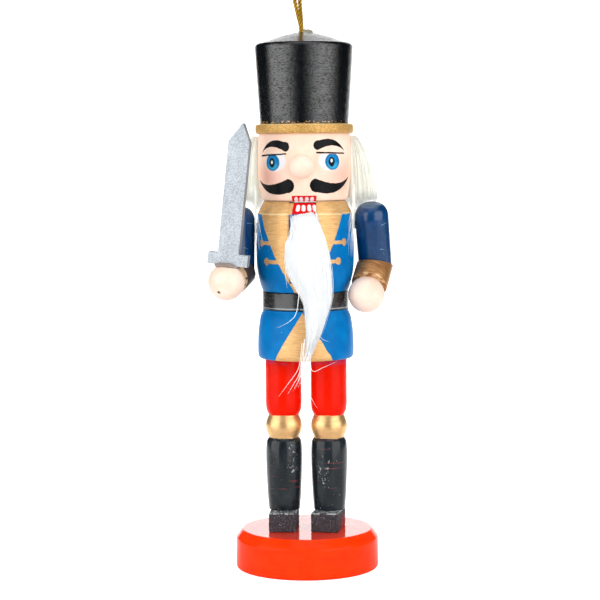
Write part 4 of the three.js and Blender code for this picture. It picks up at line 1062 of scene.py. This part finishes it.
# ---------------------------------------------------------------------------------------------------
# Arms. Each is a length of dowel with a domed shoulder, cut across at a slant and glued to a short
# piece for the cuff, and a turned ball for the hand on a tenon. The arm turns on a wooden pin that is
# glued into the body. Navy sleeve, gold cuff, flesh hand.
# ---------------------------------------------------------------------------------------------------

ELBOW, ELBOW_BEND = -10.2, 68
SLEEVE_RADIUS, HAND_RADIUS, HAND_OUT = 3.93, 4.2, 10.2
SHOULDERS = {"right": (-15.66, 0, 79.85), "left": (15.66, 0, 80.75)}
ARM_TURNS = {"right": (-11.5, 0, -10.5), "left": (18, -3.2, -13)}
sleeve_profile = [
    (0, -18.1), (SLEEVE_RADIUS, -18.1), (SLEEVE_RADIUS, 1.7),
    *smooth_profile([(3.92, 2.0), (3.66, 3.14), (3.02, 4.16), (2.35, 4.6)]), (2.15, 4.7), (0, 4.7),
]
cuff_profile = [(0, -8.4), (4.2, -8.4), (4.2, 6.75), (4.08, 6.95), (3.9, 7), (0, 7)]
hand_profile = [(0, -4.2)] + [
    (HAND_RADIUS * math.cos(math.radians(turn)), HAND_RADIUS * math.sin(math.radians(turn)))
    for turn in range(-85, 76, 5)
]


def arm_place(side):
    """Where the straight arm's frame lies: its origin on the shoulder pin, the sleeve down from it."""
    pitch, lean, twist = (math.radians(turn) for turn in ARM_TURNS[side])
    place = Matrix.Translation(Vector(SHOULDERS[side]) * MM) @ Matrix.Rotation(pitch, 4, "X")
    return place @ Matrix.Rotation(lean, 4, "Y") @ Matrix.Rotation(twist, 4, "Z")


forearm_turn = Matrix.Rotation(math.radians(180 - ELBOW_BEND), 4, "X")
forearm_place = Matrix.Translation((0, 0, ELBOW * MM)) @ forearm_turn


def slanted_cut(piece, past):
    """Cuts through the elbow, keeping the part past the cut or the part before it, and closes the end."""
    away = Matrix.Rotation(math.radians(180 - ELBOW_BEND / 2), 3, "X") @ Vector((0, 0, 1))
    if past:
        away = -away
    bpy.ops.object.select_all(action="DESELECT")
    piece.select_set(True)
    bpy.context.view_layer.objects.active = piece
    bpy.ops.object.mode_set(mode="EDIT")
    bpy.ops.mesh.select_all(action="SELECT")
    level = Vector((0, 0, ELBOW * MM)) - away * 0.03 * MM
    bpy.ops.mesh.bisect(plane_co=level, plane_no=away, use_fill=True, clear_outer=True)
    end_shaping(piece)


def seen_from(tree, place, matrix):
    """The place on a piece, counted in the frame that the matrix puts in place."""
    settings = {"Vector": place, "Location": matrix.to_translation(), "Rotation": matrix.to_euler("XYZ")}
    return node(tree, "ShaderNodeMapping", settings, vector_type="TEXTURE")


def sleeve_paint(name, matrix):
    """Glossy navy paint with faint rings, a few pale scratches and a paler top."""
    material, tree, surface, place = finish(name, 0.2, shine=0.5)
    arm = seen_from(tree, place, matrix)
    cloud = mottled(tree, arm, (0.5, 0.5, 0.35), 5, 0.65)
    colour = coat_over(tree, threshold(tree, cloud, 0.3, 0.75), shade(3, 50, 94), shade(8, 66, 116))
    up = use(tree, wrapped, {"Place": arm, "Radius": SLEEVE_RADIUS, "Level": 0}, "Up")
    across = use(tree, wrapped, {"Place": arm, "Radius": SLEEVE_RADIUS, "Level": 0}, "Across")
    # The top of the shoulder dome is painted paler.
    top = threshold(tree, up, 4.45, 4.68)
    colour = coat_over(tree, between(tree, top, 0, 0.4), colour, shade(104, 128, 150))
    scratches = []
    for x, y, x1, y1 in (
        (3.3, 0.6, 5.2, 0.75), (2.6, -5.2, 3.6, -5.5), (-4.6, -3.2, -3.9, -7.6), (0.4, -7.6, 1.7, -7.9),
    ):
        line = {"Across": across, "Up": up, "From Across": x, "From Up": y, "To Across": x1, "To Up": y1}
        scratches.append(use(tree, stroke, {**line, "Half Width": 0.1, "End Width": 0.02, "Edge": 0.12}))
    dots = use(tree, specks, {"Place": arm, "Spacing": 1.4, "Size": 0.1, "Share": 0.16})
    scratches = strongest(tree, dots, *scratches)
    colour = coat_over(tree, between(tree, scratches, 0, 0.6), colour, shade(120, 170, 205))
    feed(tree, surface["Base Color"], colour)
    marks = use(tree, tool_marks, {"Place": arm, "Rings": 2.4, "Wave": 0.7})
    feed(tree, surface["Normal"], raised(tree, marks, 0.03))
    feed(tree, surface["Roughness"], between(tree, cloud, 0.14, 0.26))
    return material


def cuff_paint(name, matrix, dark, middle, light, rim_wear_and_highlight):
    """Gold paint brushed round the cuff, worn through to pale undercoat at its rim; on the right cuff the
    pale rim is also a painted highlight along the edge.
    """
    material, tree, surface, place = finish(name, 0.36, 0.45)
    arm = seen_from(tree, place, matrix)
    colour = gold_coat(tree, arm, dark, middle, light)
    rubbed = wear_and_highlight_at(tree, arm, 6.95, 0.5, 0.9, rim_wear_and_highlight)
    colour = coat_over(tree, between(tree, rubbed, 0, 0.75), colour, shade(240, 214, 170))
    feed(tree, surface["Base Color"], colour)
    feed(tree, surface["Normal"], raised(tree, use(tree, gold_streaks, {"Place": arm}, "Streak"), 0.05))
    return material


def hand_paint(name, matrix, pin_hole):
    """Flesh paint with pinholes, a ring where the lathe's centre held it, and one deeper hole, painted dark
    for the shade inside it.
    """
    material, tree, surface, place = finish(name, 0.34)
    arm = seen_from(tree, place, matrix)
    colour = flesh(tree, place, (247, 212, 190), (253, 230, 212))
    dots = use(tree, specks, {"Place": arm, "Spacing": 1.5, "Size": 0.07, "Share": 0.16})
    relief = mottled(tree, arm, (0.8, 0.8, 0.8), 3)
    if pin_hole is not None:
        away = node(tree, "ShaderNodeVectorMath", {0: place, 1: pin_hole}, "Value", operation="DISTANCE")
        hole = threshold(tree, away, 0.42 * MM, 0.2 * MM)
        rim = threshold(tree, away, 0.75 * MM, 0.3 * MM)
        colour = coat_over(tree, multiply(tree, rim, 0.25), colour, shade(190, 140, 110))
        # Painted shade: the hole is painted dark brown for the shade inside it.
        colour = coat_over(tree, hole, colour, shade(84, 44, 30))
        relief = subtract(tree, relief, multiply(tree, hole, 4))
    colour = coat_over(tree, between(tree, dots, 0, 0.5), colour, shade(190, 140, 120))
    feed(tree, surface["Base Color"], colour)
    feed(tree, surface["Normal"], raised(tree, relief, 0.06))
    return material


# The right cuff's three shades are the same gold darkened: painted shade for that cuff's shaded inner side.
CUFF_GOLD_AND_SHADE = {
    "left": (shade(140, 92, 50), shade(184, 132, 80), shade(222, 172, 114)),
    "right": (shade(58, 46, 40), shade(98, 82, 70), shade(160, 138, 112)),
}
for side in ("right", "left"):
    body = f"{side}_arm"
    place = arm_place(side)
    sleeve = turned(f"{side}_sleeve_dowel", sleeve_profile, 64, 40)
    slanted_cut(sleeve, False)
    sleeve.data.transform(place)
    paint_piece(sleeve, sleeve_paint(f"{side}_sleeve_paint", place), "sleeve_paint", body, f"{side}_sleeve")
    cuff = turned(f"{side}_cuff_dowel", cuff_profile, 64, 40)
    cuff.data.transform(forearm_place)
    slanted_cut(cuff, True)
    cuff.data.transform(place)
    forearm = place @ forearm_place
    # The right cuff's rim is worn more, and there the pale rim is also a painted highlight along its edge.
    rim_wear_and_highlight = 0.62 if side == "right" else 0.48
    gold = cuff_paint(f"{side}_cuff_paint", forearm, *CUFF_GOLD_AND_SHADE[side], rim_wear_and_highlight)
    paint_piece(cuff, gold, "gold_paint", body, f"{side}_cuff")
    pole = [(0.9, 4.09), (0, 4.07)] if side == "right" else [(0.55, 4.165), (0, 4.2)]
    ball = [(radius, height + HAND_OUT) for radius, height in hand_profile + pole]
    hand = turned(f"{side}_ball_hand", ball, 64, 60)
    hand.data.transform(forearm)
    hand_middle = forearm @ Vector((0, 0, HAND_OUT * MM))
    pin_hole = None
    if side == "right":
        pole_way = (forearm.to_3x3() @ Vector((0, 0, 1))).normalized()
        pin_hole = hand_middle + (pole_way + Vector((-0.24, 0, -0.42))).normalized() * HAND_RADIUS * MM
    paint_piece(hand, hand_paint(f"{side}_hand_paint", forearm, pin_hole), "skin_paint", body, f"{side}_hand")

# ---------------------------------------------------------------------------------------------------
# Sword. Fretted in one piece from thin board and painted silver, its edges left darker. Its tang is
# glued into a slot cut in the top of the right hand, and the glue has oozed out under the guard.
# ---------------------------------------------------------------------------------------------------

SWORD_OUTLINE = [
    (-1.6, -0.1), (1.6, -0.1), (1.6, 3.9), (4.75, 3.9), (4.75, 6.65), (2.5, 6.65), (2.5, 32.05), (0.6, 36.2),
    (0.4, 36.3), (-2.5, 32.05), (-2.5, 6.65), (-4.75, 6.65), (-4.75, 3.9), (-1.6, 3.9),
]
right_forearm = arm_place("right") @ forearm_place
sword_place = (
    Matrix.Translation(right_forearm @ Vector((0, 0, HAND_OUT * MM)))
    @ Matrix.Rotation(math.radians(-10.5), 4, "Z") @ Matrix.Rotation(math.radians(6.4), 4, "Y")
)
sword_board = cut_board("sword_board", SWORD_OUTLINE, 2.0, 1)
soften_edges(sword_board, 0.09, 2, 30)
sword_board.data.transform(sword_place @ Matrix.Rotation(math.radians(-90), 4, "Z"))
silver_paint, tree, surface, place = finish("silver_paint", 0.42, 0.15)
flat = seen_from(tree, place, sword_place)
flake = mottled(tree, flat, (3.2, 3.2, 3.2), 4, 0.75)
cloud = mottled(tree, flat, (0.35, 0.35, 0.2), 3)
colour = coat_over(tree, threshold(tree, flake, 0.35, 0.68), shade(150, 158, 166), shade(208, 215, 221))
pale = between(tree, threshold(tree, cloud, 0.4, 0.8), 0, 0.3)
colour = coat_over(tree, pale, colour, shade(226, 232, 240))
facing = sum_of(tree, "ABSOLUTE", part_of(tree, flat, "Y"))
board_side = threshold(tree, facing, 0.97 * MM, 0.9 * MM)
colour = coat_over(tree, multiply(tree, board_side, 0.62), colour, shade(104, 106, 112))
edge_line = threshold(tree, facing, 0.9 * MM, 0.94 * MM)
edge_line = both(tree, edge_line, threshold(tree, facing, 0.995 * MM, 0.965 * MM))
colour = coat_over(tree, multiply(tree, edge_line, 0.55), colour, shade(62, 64, 68))
feed(tree, surface["Base Color"], colour)
feed(tree, surface["Roughness"], between(tree, flake, 0.6, 0.3))
feed(tree, surface["Normal"], raised(tree, flake, 0.07))
paint_piece(sword_board, silver_paint, "silver_paint", "right_arm", "sword")

guard_middle = sword_place @ Vector((0, 0, 3.75 * MM))
guard_glue = glue_lump("guard_glue", (2.85, 1.9, 0.8), (0, 0, 0), 9)
guard_glue.data.transform(Matrix.Translation(guard_middle) @ sword_place.to_3x3().to_4x4())
brown_glue, tree, surface, place = finish("brown_glue", 0.3)
cloud = mottled(tree, place, (1.2, 1.2, 1.2), 4)
feed(tree, surface["Base Color"], coat_over(tree, cloud, shade(92, 78, 70), shade(170, 156, 148)))
feed(tree, surface["Normal"], raised(tree, cloud, 0.15))
paint_piece(guard_glue, brown_glue, "skin_paint", "right_arm")

# ---------------------------------------------------------------------------------------------------
# Hair. A band of long off-white fur, glued round the sides and back of the head under the brim, combed
# down and trimmed at the neck. A thick felted layer lies under the loose combed strands.
# ---------------------------------------------------------------------------------------------------

SCALP = 10.95
HAIR_OUTER = [
    (101.3, 12.0), (100, 12.9), (96.8, 14.9), (93, 16.2), (89.4, 16.8), (85.6, 16.9), (80, 16.9), (70, 16.9)
]


def level_value(table, height):
    """The value at a height, from a list of heights going down with a value at each."""
    if height >= table[0][0]:
        return table[0][1]
    for (z0, v0), (z1, v1) in zip(table, table[1:]):
        if height >= z1:
            return v0 + (v1 - v0) * (z0 - height) / (z0 - z1)
    return table[-1][1]


def strand_mesh(name, strands):
    """Thin tapering strands in one piece. Each has its line in millimetres, a radius and a tone."""
    vertices, faces, tones = [], [], []
    for line, thick, tone in strands:
        first = len(vertices)
        side = Vector((0.31, 0.87, 0.2))
        last = len(line) - 1
        for index, centre in enumerate(line):
            ahead = (line[min(index + 1, last)] - line[max(index - 1, 0)]).normalized()
            side = (side - ahead * side.dot(ahead)).normalized()
            other = ahead.cross(side)
            radius = thick * (1 - 0.85 * (index / last) ** 2)
            for corner in range(3):
                turn = corner * 2 * math.pi / 3
                vertices.append((centre + (side * math.cos(turn) + other * math.sin(turn)) * radius) * MM)
                tones.append(tone)
            if index:
                faces += ring_faces(first + (index - 1) * 3, 3)
        faces.append((first + 2, first + 1, first))
        end = first + last * 3
        faces.append((end, end + 1, end + 2))
    piece = mesh_piece(name, vertices, faces)
    piece.data.polygons.foreach_set("use_smooth", [True] * len(faces))
    tone_attribute = piece.data.attributes.new("strand_tone", "FLOAT", "POINT")
    tone_attribute.data.foreach_set("value", tones)
    return piece


comb = random.Random(11)


def wig_strand(angle, depth, top, bottom, thick, drift, flick):
    """One strand of the wig, from the brim to its end. Angle runs from the figure's left round the back."""
    line = []
    sway = comb.uniform(-0.02, 0.02)
    steps = 5
    for step_index in range(steps + 1):
        t = step_index / steps
        z = top + (bottom - top) * t
        outer = level_value(HAIR_OUTER, z)
        radius = SCALP + depth * (outer - SCALP) + flick * t ** 4
        turn = angle + drift * t + sway * math.sin(3 * t)
        line.append(Vector((radius * math.cos(turn), radius * math.sin(turn), z)))
    return line, thick, comb.random()


wig_strands = []
for strand in range(5400):
    at_front = strand >= 4000
    angle = comb.uniform(-0.16, 0.3) if at_front else comb.uniform(-0.12, math.pi + 0.12)
    if at_front and comb.random() < 0.5:
        angle = math.pi - angle
    depth = comb.uniform(0.0, 1.0) if at_front else comb.uniform(0.3, 1.0) ** 0.5
    top = comb.uniform(97, 101.2)
    over_sleeve = abs(math.sin(angle)) < 0.45 and depth > 0.12
    bottom = comb.gauss(86.5, 0.45) if over_sleeve else comb.gauss(84.9, 1.0)
    bottom = max(bottom, 85.9 if over_sleeve else 82.8)
    thick = comb.uniform(0.05, 0.085)
    drift, flick = comb.uniform(-0.05, 0.05), comb.uniform(-0.4, 0.25)
    wig_strands.append(wig_strand(angle, depth, top, bottom, thick, drift, flick))
# Loose wisps that fall past the collar, between the coat and the sleeves.
for side, wisps in ((1, 46), (-1, 34)):
    for wisp in range(wisps):
        turn, lean = comb.uniform(-12, 4), comb.uniform(-26, -4)
        end = comb.uniform(73, 83)
        line = []
        for step_index in range(5):
            t = step_index / 4
            angle = math.radians(turn + lean * t + comb.uniform(-3, 3))
            radius = 11.62 + comb.uniform(0, 0.12)
            across, back = side * radius * math.cos(angle), radius * math.sin(angle)
            line.append(Vector((across, back, 90 + (end - 90) * t)))
        wig_strands.append((smooth_line(line, 3), 0.05, comb.random()))
wig_fur = strand_mesh("wig_fur", wig_strands)

felt_profile = [
    (10.86, 86.7), (15.1, 86.3), (15.7, 87.4), (15.7, 89.5), (15.1, 93), (13.9, 96.8), (12.3, 100),
    (11.3, 101.3), (10.86, 101.4),
]
wig_felt = start_shaping("wig_felt", "primitive_plane_add", size=MM)
bpy.ops.mesh.merge(type="CENTER")
bpy.ops.transform.translate(value=(felt_profile[0][0] * MM, 0, felt_profile[0][1] * MM))
for (r0, z0), (r1, z1) in zip(felt_profile, felt_profile[1:] + felt_profile[:1]):
    bpy.ops.mesh.extrude_vertices_move(TRANSFORM_OT_translate={"value": ((r1 - r0) * MM, 0, (z1 - z0) * MM)})
bpy.ops.mesh.select_all(action="SELECT")
bpy.ops.transform.rotate(value=math.radians(17), orient_axis="Z", center_override=(0, 0, 0))
bpy.ops.mesh.remove_doubles(threshold=0.002 * MM)
bpy.ops.mesh.spin(steps=60, angle=math.radians(146), center=(0, 0, 0), axis=(0, 0, 1))
bpy.ops.mesh.select_all(action="SELECT")
bpy.ops.mesh.fill_holes(sides=20)
end_shaping(wig_felt, 60)
if min(vertex.co.y for vertex in wig_felt.data.vertices) < -5 * MM:
    wig_felt.data.transform(Matrix.Rotation(math.pi, 4, "Z"))


def fur_finish(name, dark, light, length_scale, glow):
    """Fur: fine streaks down the hair, strands of different tones, and a painted glow that stands in for
    light shining through it.
    """
    material, tree, surface, place = finish(name, 0.55)
    tone = node(tree, "ShaderNodeAttribute", output="Fac", attribute_name="strand_tone")
    streaks = mottled(tree, place, (3.2, 3.2, length_scale), 4, 0.7)
    lock = mottled(tree, place, (0.6, 0.6, 0.12), 3)
    amount = add(tree, multiply(tree, streaks, 0.6), multiply(tree, tone, 0.35))
    amount = add(tree, amount, multiply(tree, subtract(tree, lock, 0.5), 0.8))
    colour = coat_over(tree, threshold(tree, amount, 0.15, 0.75), shade(*dark), shade(*light))
    feed(tree, surface["Base Color"], colour)
    # Painted light: the fur glows with its own colour, as if lit through.
    feed(tree, surface["Emission Color"], colour)
    surface["Emission Strength"].default_value = glow
    feed(tree, surface["Normal"], raised(tree, streaks, 0.06))
    return material


cream_fur = fur_finish("cream_fur", (231, 231, 219), (249, 250, 245), 0.25, 0.23)
paint_piece(wig_fur, cream_fur, "cream_fur", "figure", "wig")
paint_piece(wig_felt, cream_fur, "cream_fur", "figure")

# ---------------------------------------------------------------------------------------------------
# Beard. A tuft of long white fur, glued to the front of the jaw under the lower teeth. It hangs over
# the chest, the belt and the skirt and thins out into loose hairs. On the figure it moves with the jaw
# at its root, but these pieces are not joined to the jaw's body.
# ---------------------------------------------------------------------------------------------------

BEARD_LEFT = [
    (83.4, -2.3), (82, -2), (79.4, -1.5), (77.2, -2.9), (72, -2.8), (69.8, -2.3), (64.9, 0),
    (63.6, 0.9), (57.5, 1.1), (52.5, 0.8), (50, 0), (45, -1.4), (39, -5),
]
BEARD_RIGHT = [
    (83.4, 2.7), (81, 3.1), (79.6, 3.9), (76.5, 4.6), (70, 5.6), (65, 5.9), (63.5, 5.9),
    (57.5, 4.4), (52.5, 2.6), (50, 1.4), (45, 0.4), (39, -3),
]
BEARD_DEEP = [
    (83.4, 0.5), (81, 1.5), (77, 2.3), (71, 2.6), (65, 2.3), (60, 1.9), (54, 1.2), (49, 0.8), (39, 0.6)
]
FRONT_OF_COAT = [
    (86, 9.6), (83.15, 11.05), (79, 11.3), (72, 11.4), (67, 10.8), (65.2, 10.3), (61, 10.2),
    (59, 10.7), (55, 11.1), (49.5, 11.2), (40, 11.2),
]


def beard_point(share, depth, z):
    """A point in the tuft: share runs across it from its right, depth out from the coat."""
    left, right = level_value(BEARD_LEFT, z), level_value(BEARD_RIGHT, z)
    x = left + (right - left) * share
    coat = level_value(FRONT_OF_COAT, z)
    round_front = math.sqrt(max(coat * coat - x * x, 1))
    crown = math.sqrt(max(0.05, 1 - (2 * share - 1) ** 2 * 0.85))
    return Vector((x, -(round_front + 0.12 + depth * crown * level_value(BEARD_DEEP, z)), z))


def beard_strand(share, depth, top, bottom, thick, wander=0.05, steps=8):
    """One strand of the beard, wandering a little sideways on its way down."""
    first, second = comb.uniform(-wander, wander), comb.uniform(-wander, wander)
    line = []
    for step_index in range(steps + 1):
        t = step_index / steps
        z = top + (bottom - top) * t
        here = share + first * math.sin(2.2 * t) + second * t * t
        line.append(beard_point(here, depth, z))
    return line, thick, comb.random()


beard_strands = []
for strand in range(3600):
    share = comb.gauss(0.5, 0.27)
    share = comb.random() if not -0.12 < share < 1.12 else share
    depth = comb.uniform(0.15, 1.0)
    top = 83.2 + 0.8 * share - abs(comb.gauss(0, 3.2)) - (1 - depth) * 0.4
    bottom = top - comb.uniform(10, 30) if comb.random() < 0.7 else comb.uniform(51, 60)
    bottom = max(bottom, 50 + comb.uniform(0, 5))
    beard_strands.append(beard_strand(share, depth, top, bottom, comb.uniform(0.045, 0.08)))
for strand in range(30):
    top, bottom = comb.uniform(56, 68), comb.uniform(42.5, 49)
    beard_strands.append(beard_strand(comb.random(), comb.uniform(0.2, 1), top, bottom, 0.06, 0.14, 10))
STRAY_HAIRS = [
    [(-0.6, 68, 1.5), (-1.4, 61.2, 1.2), (-3.2, 58.8, 0.9), (-6.2, 57.2, 0.5)],
    [(3.6, 60, 1.2), (3.4, 56.6, 1.0), (4.3, 54.9, 0.7), (5.9, 54.0, 0.4)],
    [(4.6, 68, 1.5), (5.1, 65.6, 0.9), (5.8, 64.4, 0.7), (6.7, 63.2, 0.5)],
    [(1.2, 52, 0.8), (1.0, 45, 0.5), (1.5, 42, 0.4), (3.1, 38.9, 0.5)],
    [(1.6, 52, 0.8), (2.0, 47.6, 0.6), (4.6, 48.3, 0.5), (7.6, 49.4, 0.3)],
    [(-0.2, 54, 0.8), (-1.0, 48.4, 0.7), (-3.2, 45, 0.8), (-5.8, 41.5, 1.0)],
    [(0.2, 54, 0.9), (-0.8, 47.4, 0.9), (-2.2, 44.6, 1.0), (-3.6, 42.2, 1.2)],
    [(0.4, 55, 0.9), (-0.2, 48, 0.8), (-1.0, 45.5, 0.8), (-2.0, 43.6, 0.9)],
    [(-2.4, 79, 1.2), (-3.4, 74, 0.8), (-3.9, 70, 0.7), (-3.6, 66.4, 0.7)],
    [(4.4, 78, 1.4), (5.8, 74.5, 0.9), (6.3, 71, 0.7), (6.6, 68.4, 0.5)],
]
for points in STRAY_HAIRS:
    line = []
    for x, z, out in points:
        coat = level_value(FRONT_OF_COAT, z)
        line.append(Vector((x, -(math.sqrt(coat * coat - x * x) + out), z)))
    beard_strands.append((smooth_line(line, 4), 0.085, 0.9))
beard_fur = strand_mesh("beard_fur", beard_strands)

felt_levels = [82.4, 81, 78.5, 75.5, 72, 68.5, 65, 61.5, 59, 57]
felt_vertices, felt_faces = [], []
FELT_SIDES = 20
for z in felt_levels:
    for corner in range(FELT_SIDES):
        turn = corner / FELT_SIDES * 2 * math.pi
        share = 0.5 + 0.42 * math.cos(turn)
        depth = 0.42 + 0.38 * math.sin(turn)
        felt_vertices.append(beard_point(share, depth, z) * MM)
for ring in range(len(felt_levels) - 1):
    felt_faces += ring_faces(ring * FELT_SIDES, FELT_SIDES)
felt_faces.append(tuple(reversed(range(FELT_SIDES))))
last_ring = (len(felt_levels) - 1) * FELT_SIDES
felt_faces.append(tuple(range(last_ring, last_ring + FELT_SIDES)))
beard_felt = mesh_piece("beard_felt", felt_vertices, felt_faces)
bpy.ops.object.select_all(action="DESELECT")
beard_felt.select_set(True)
bpy.context.view_layer.objects.active = beard_felt
bpy.ops.object.mode_set(mode="EDIT")
end_shaping(beard_felt, 80)
white_fur = fur_finish("white_fur", (235, 239, 243), (253, 254, 254), 0.2, 0.13)
for piece in (beard_fur, beard_felt):
    piece.data.materials.append(white_fur)
    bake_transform(piece)
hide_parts("beard")

# ---------------------------------------------------------------------------------------------------
# Dowels and pins. Plain birch pegs, glued in their holes, that join the legs, body, head and hat, and
# the two pins that the arms turn on, which take the sleeves' paint. They stay as they were drawn.
# ---------------------------------------------------------------------------------------------------

bare_wood, tree, surface, place = finish("bare_wood", 0.65)
grain = mottled(tree, place, (2.6, 2.6, 0.18), 5, 0.65)
colour = coat_over(tree, threshold(tree, grain, 0.3, 0.7), shade(196, 158, 108), shade(228, 198, 150))
feed(tree, surface["Base Color"], colour)
feed(tree, surface["Normal"], raised(tree, grain, 0.08))
for name in ("foot_dowel", "hip_dowel", "neck_dowel"):
    for side in ("right", "left"):
        paint_solid(f"{side}_{name}", bare_wood)
paint_solid("hat_dowel", bare_wood)

pin_paint, tree, surface, place = finish("pin_paint", 0.4, shine=0.4)
cloud = mottled(tree, place, (0.6, 0.6, 0.6), 4)
colour = coat_over(tree, threshold(tree, cloud, 0.3, 0.7), shade(3, 50, 94), shade(8, 66, 116))
feed(tree, surface["Base Color"], colour)
feed(tree, surface["Normal"], raised(tree, cloud, 0.08))
for side in ("right", "left"):
    paint_solid(f"{side}_shoulder_pin", pin_paint)

# ---------------------------------------------------------------------------------------------------
# Studio. A sheet of white paper under the figure, curved up behind it, between two tall soft boxes,
# with a wide soft light overhead.
# ---------------------------------------------------------------------------------------------------

paper = start_shaping("paper_sweep", "primitive_plane_add", size=1)
bpy.ops.transform.resize(value=(0.64, 0.52, 1))
bpy.ops.transform.translate(value=(0, 0.14, 0))
bpy.ops.mesh.select_all(action="DESELECT")
bpy.ops.object.mode_set(mode="OBJECT")
for edge in paper.data.edges:
    if all(paper.data.vertices[corner].co.y > 0.3 for corner in edge.vertices):
        edge.select = True
bpy.ops.object.mode_set(mode="EDIT")
for turn in range(1, 13):
    lean = math.radians(turn * 7.5)
    step = (0, 0.06 * math.cos(lean), 0.06 * math.sin(lean))
    bpy.ops.mesh.extrude_edges_move(TRANSFORM_OT_translate={"value": step})
bpy.ops.mesh.extrude_edges_move(TRANSFORM_OT_translate={"value": (0, 0, 0.5)})
bpy.ops.mesh.select_all(action="SELECT")
bpy.ops.mesh.normals_make_consistent(inside=False)
bpy.ops.object.mode_set(mode="OBJECT")
bpy.ops.object.shade_smooth_by_angle(angle=math.radians(40))
white_paper, tree, surface, place = finish("white_paper", 0.8)
fibre = mottled(tree, place, (0.02, 0.02, 0.02), 4)
feed(tree, surface["Base Color"], coat_over(tree, fibre, (0.86, 0.86, 0.86), (0.9, 0.9, 0.9)))
surface["Emission Color"].default_value = (1, 1, 1, 1)
seen = node(tree, "ShaderNodeLightPath", output="Is Camera Ray")
mirrored = node(tree, "ShaderNodeLightPath", output="Is Glossy Ray")
behind = threshold(tree, part_of(tree, place, "Y"), 0.0, 0.05)
bright = strongest(tree, seen, both(tree, mirrored, behind))
feed(tree, surface["Emission Strength"], between(tree, bright, 0, 0.75))
paper.data.materials.append(white_paper)


def soft_box(name, azimuth, height, distance, width, tall, power, mirrored=True):
    """A soft light that faces the figure. Azimuth 0 is in front of it, and positive to its left."""
    lamp = bpy.data.lights.new(name, "AREA")
    lamp.shape = "RECTANGLE"
    lamp.size, lamp.size_y, lamp.energy = width, tall, power
    box = bpy.data.objects.new(name, lamp)
    bpy.context.scene.collection.objects.link(box)
    turn = math.radians(azimuth)
    box.location = (distance * math.sin(turn), -distance * math.cos(turn), height)
    box.rotation_euler = (Vector((0, 0, 0.07)) - box.location).to_track_quat("-Z", "Y").to_euler()
    box.visible_camera = False
    box.visible_glossy = mirrored
    return box


soft_box("left_box", -58, 0.16, 0.6, 0.68, 0.7, 4.1)
soft_box("right_box", 51, 0.16, 0.6, 0.66, 0.7, 3.9)
soft_box("front_fill", 2, 0.3, 0.8, 0.8, 0.6, 1.5, False)
soft_box("top_box", 10, 0.75, 0.25, 0.7, 0.7, 2.0)
soft_box("left_rim", -142, 0.3, 0.6, 0.5, 0.6, 2.2, False)
soft_box("right_rim", 142, 0.3, 0.6, 0.5, 0.6, 2.2, False)
world = bpy.data.worlds.new("studio")
bpy.context.scene.world = world
world.use_nodes = True
tree = world.node_tree
tree.nodes.clear()
seen = node(tree, "ShaderNodeLightPath", output="Is Camera Ray")
glow = tree.nodes.new("ShaderNodeBackground")
feed(tree, glow.inputs["Color"], coat_over(tree, seen, (0.03, 0.032, 0.035), (1, 1, 1)))
feed(tree, glow.inputs["Strength"], 1.0)
sky = tree.nodes.new("ShaderNodeOutputWorld")
tree.links.new(glow.outputs[0], sky.inputs[0])
bpy.context.scene.view_settings.view_transform = "Standard"
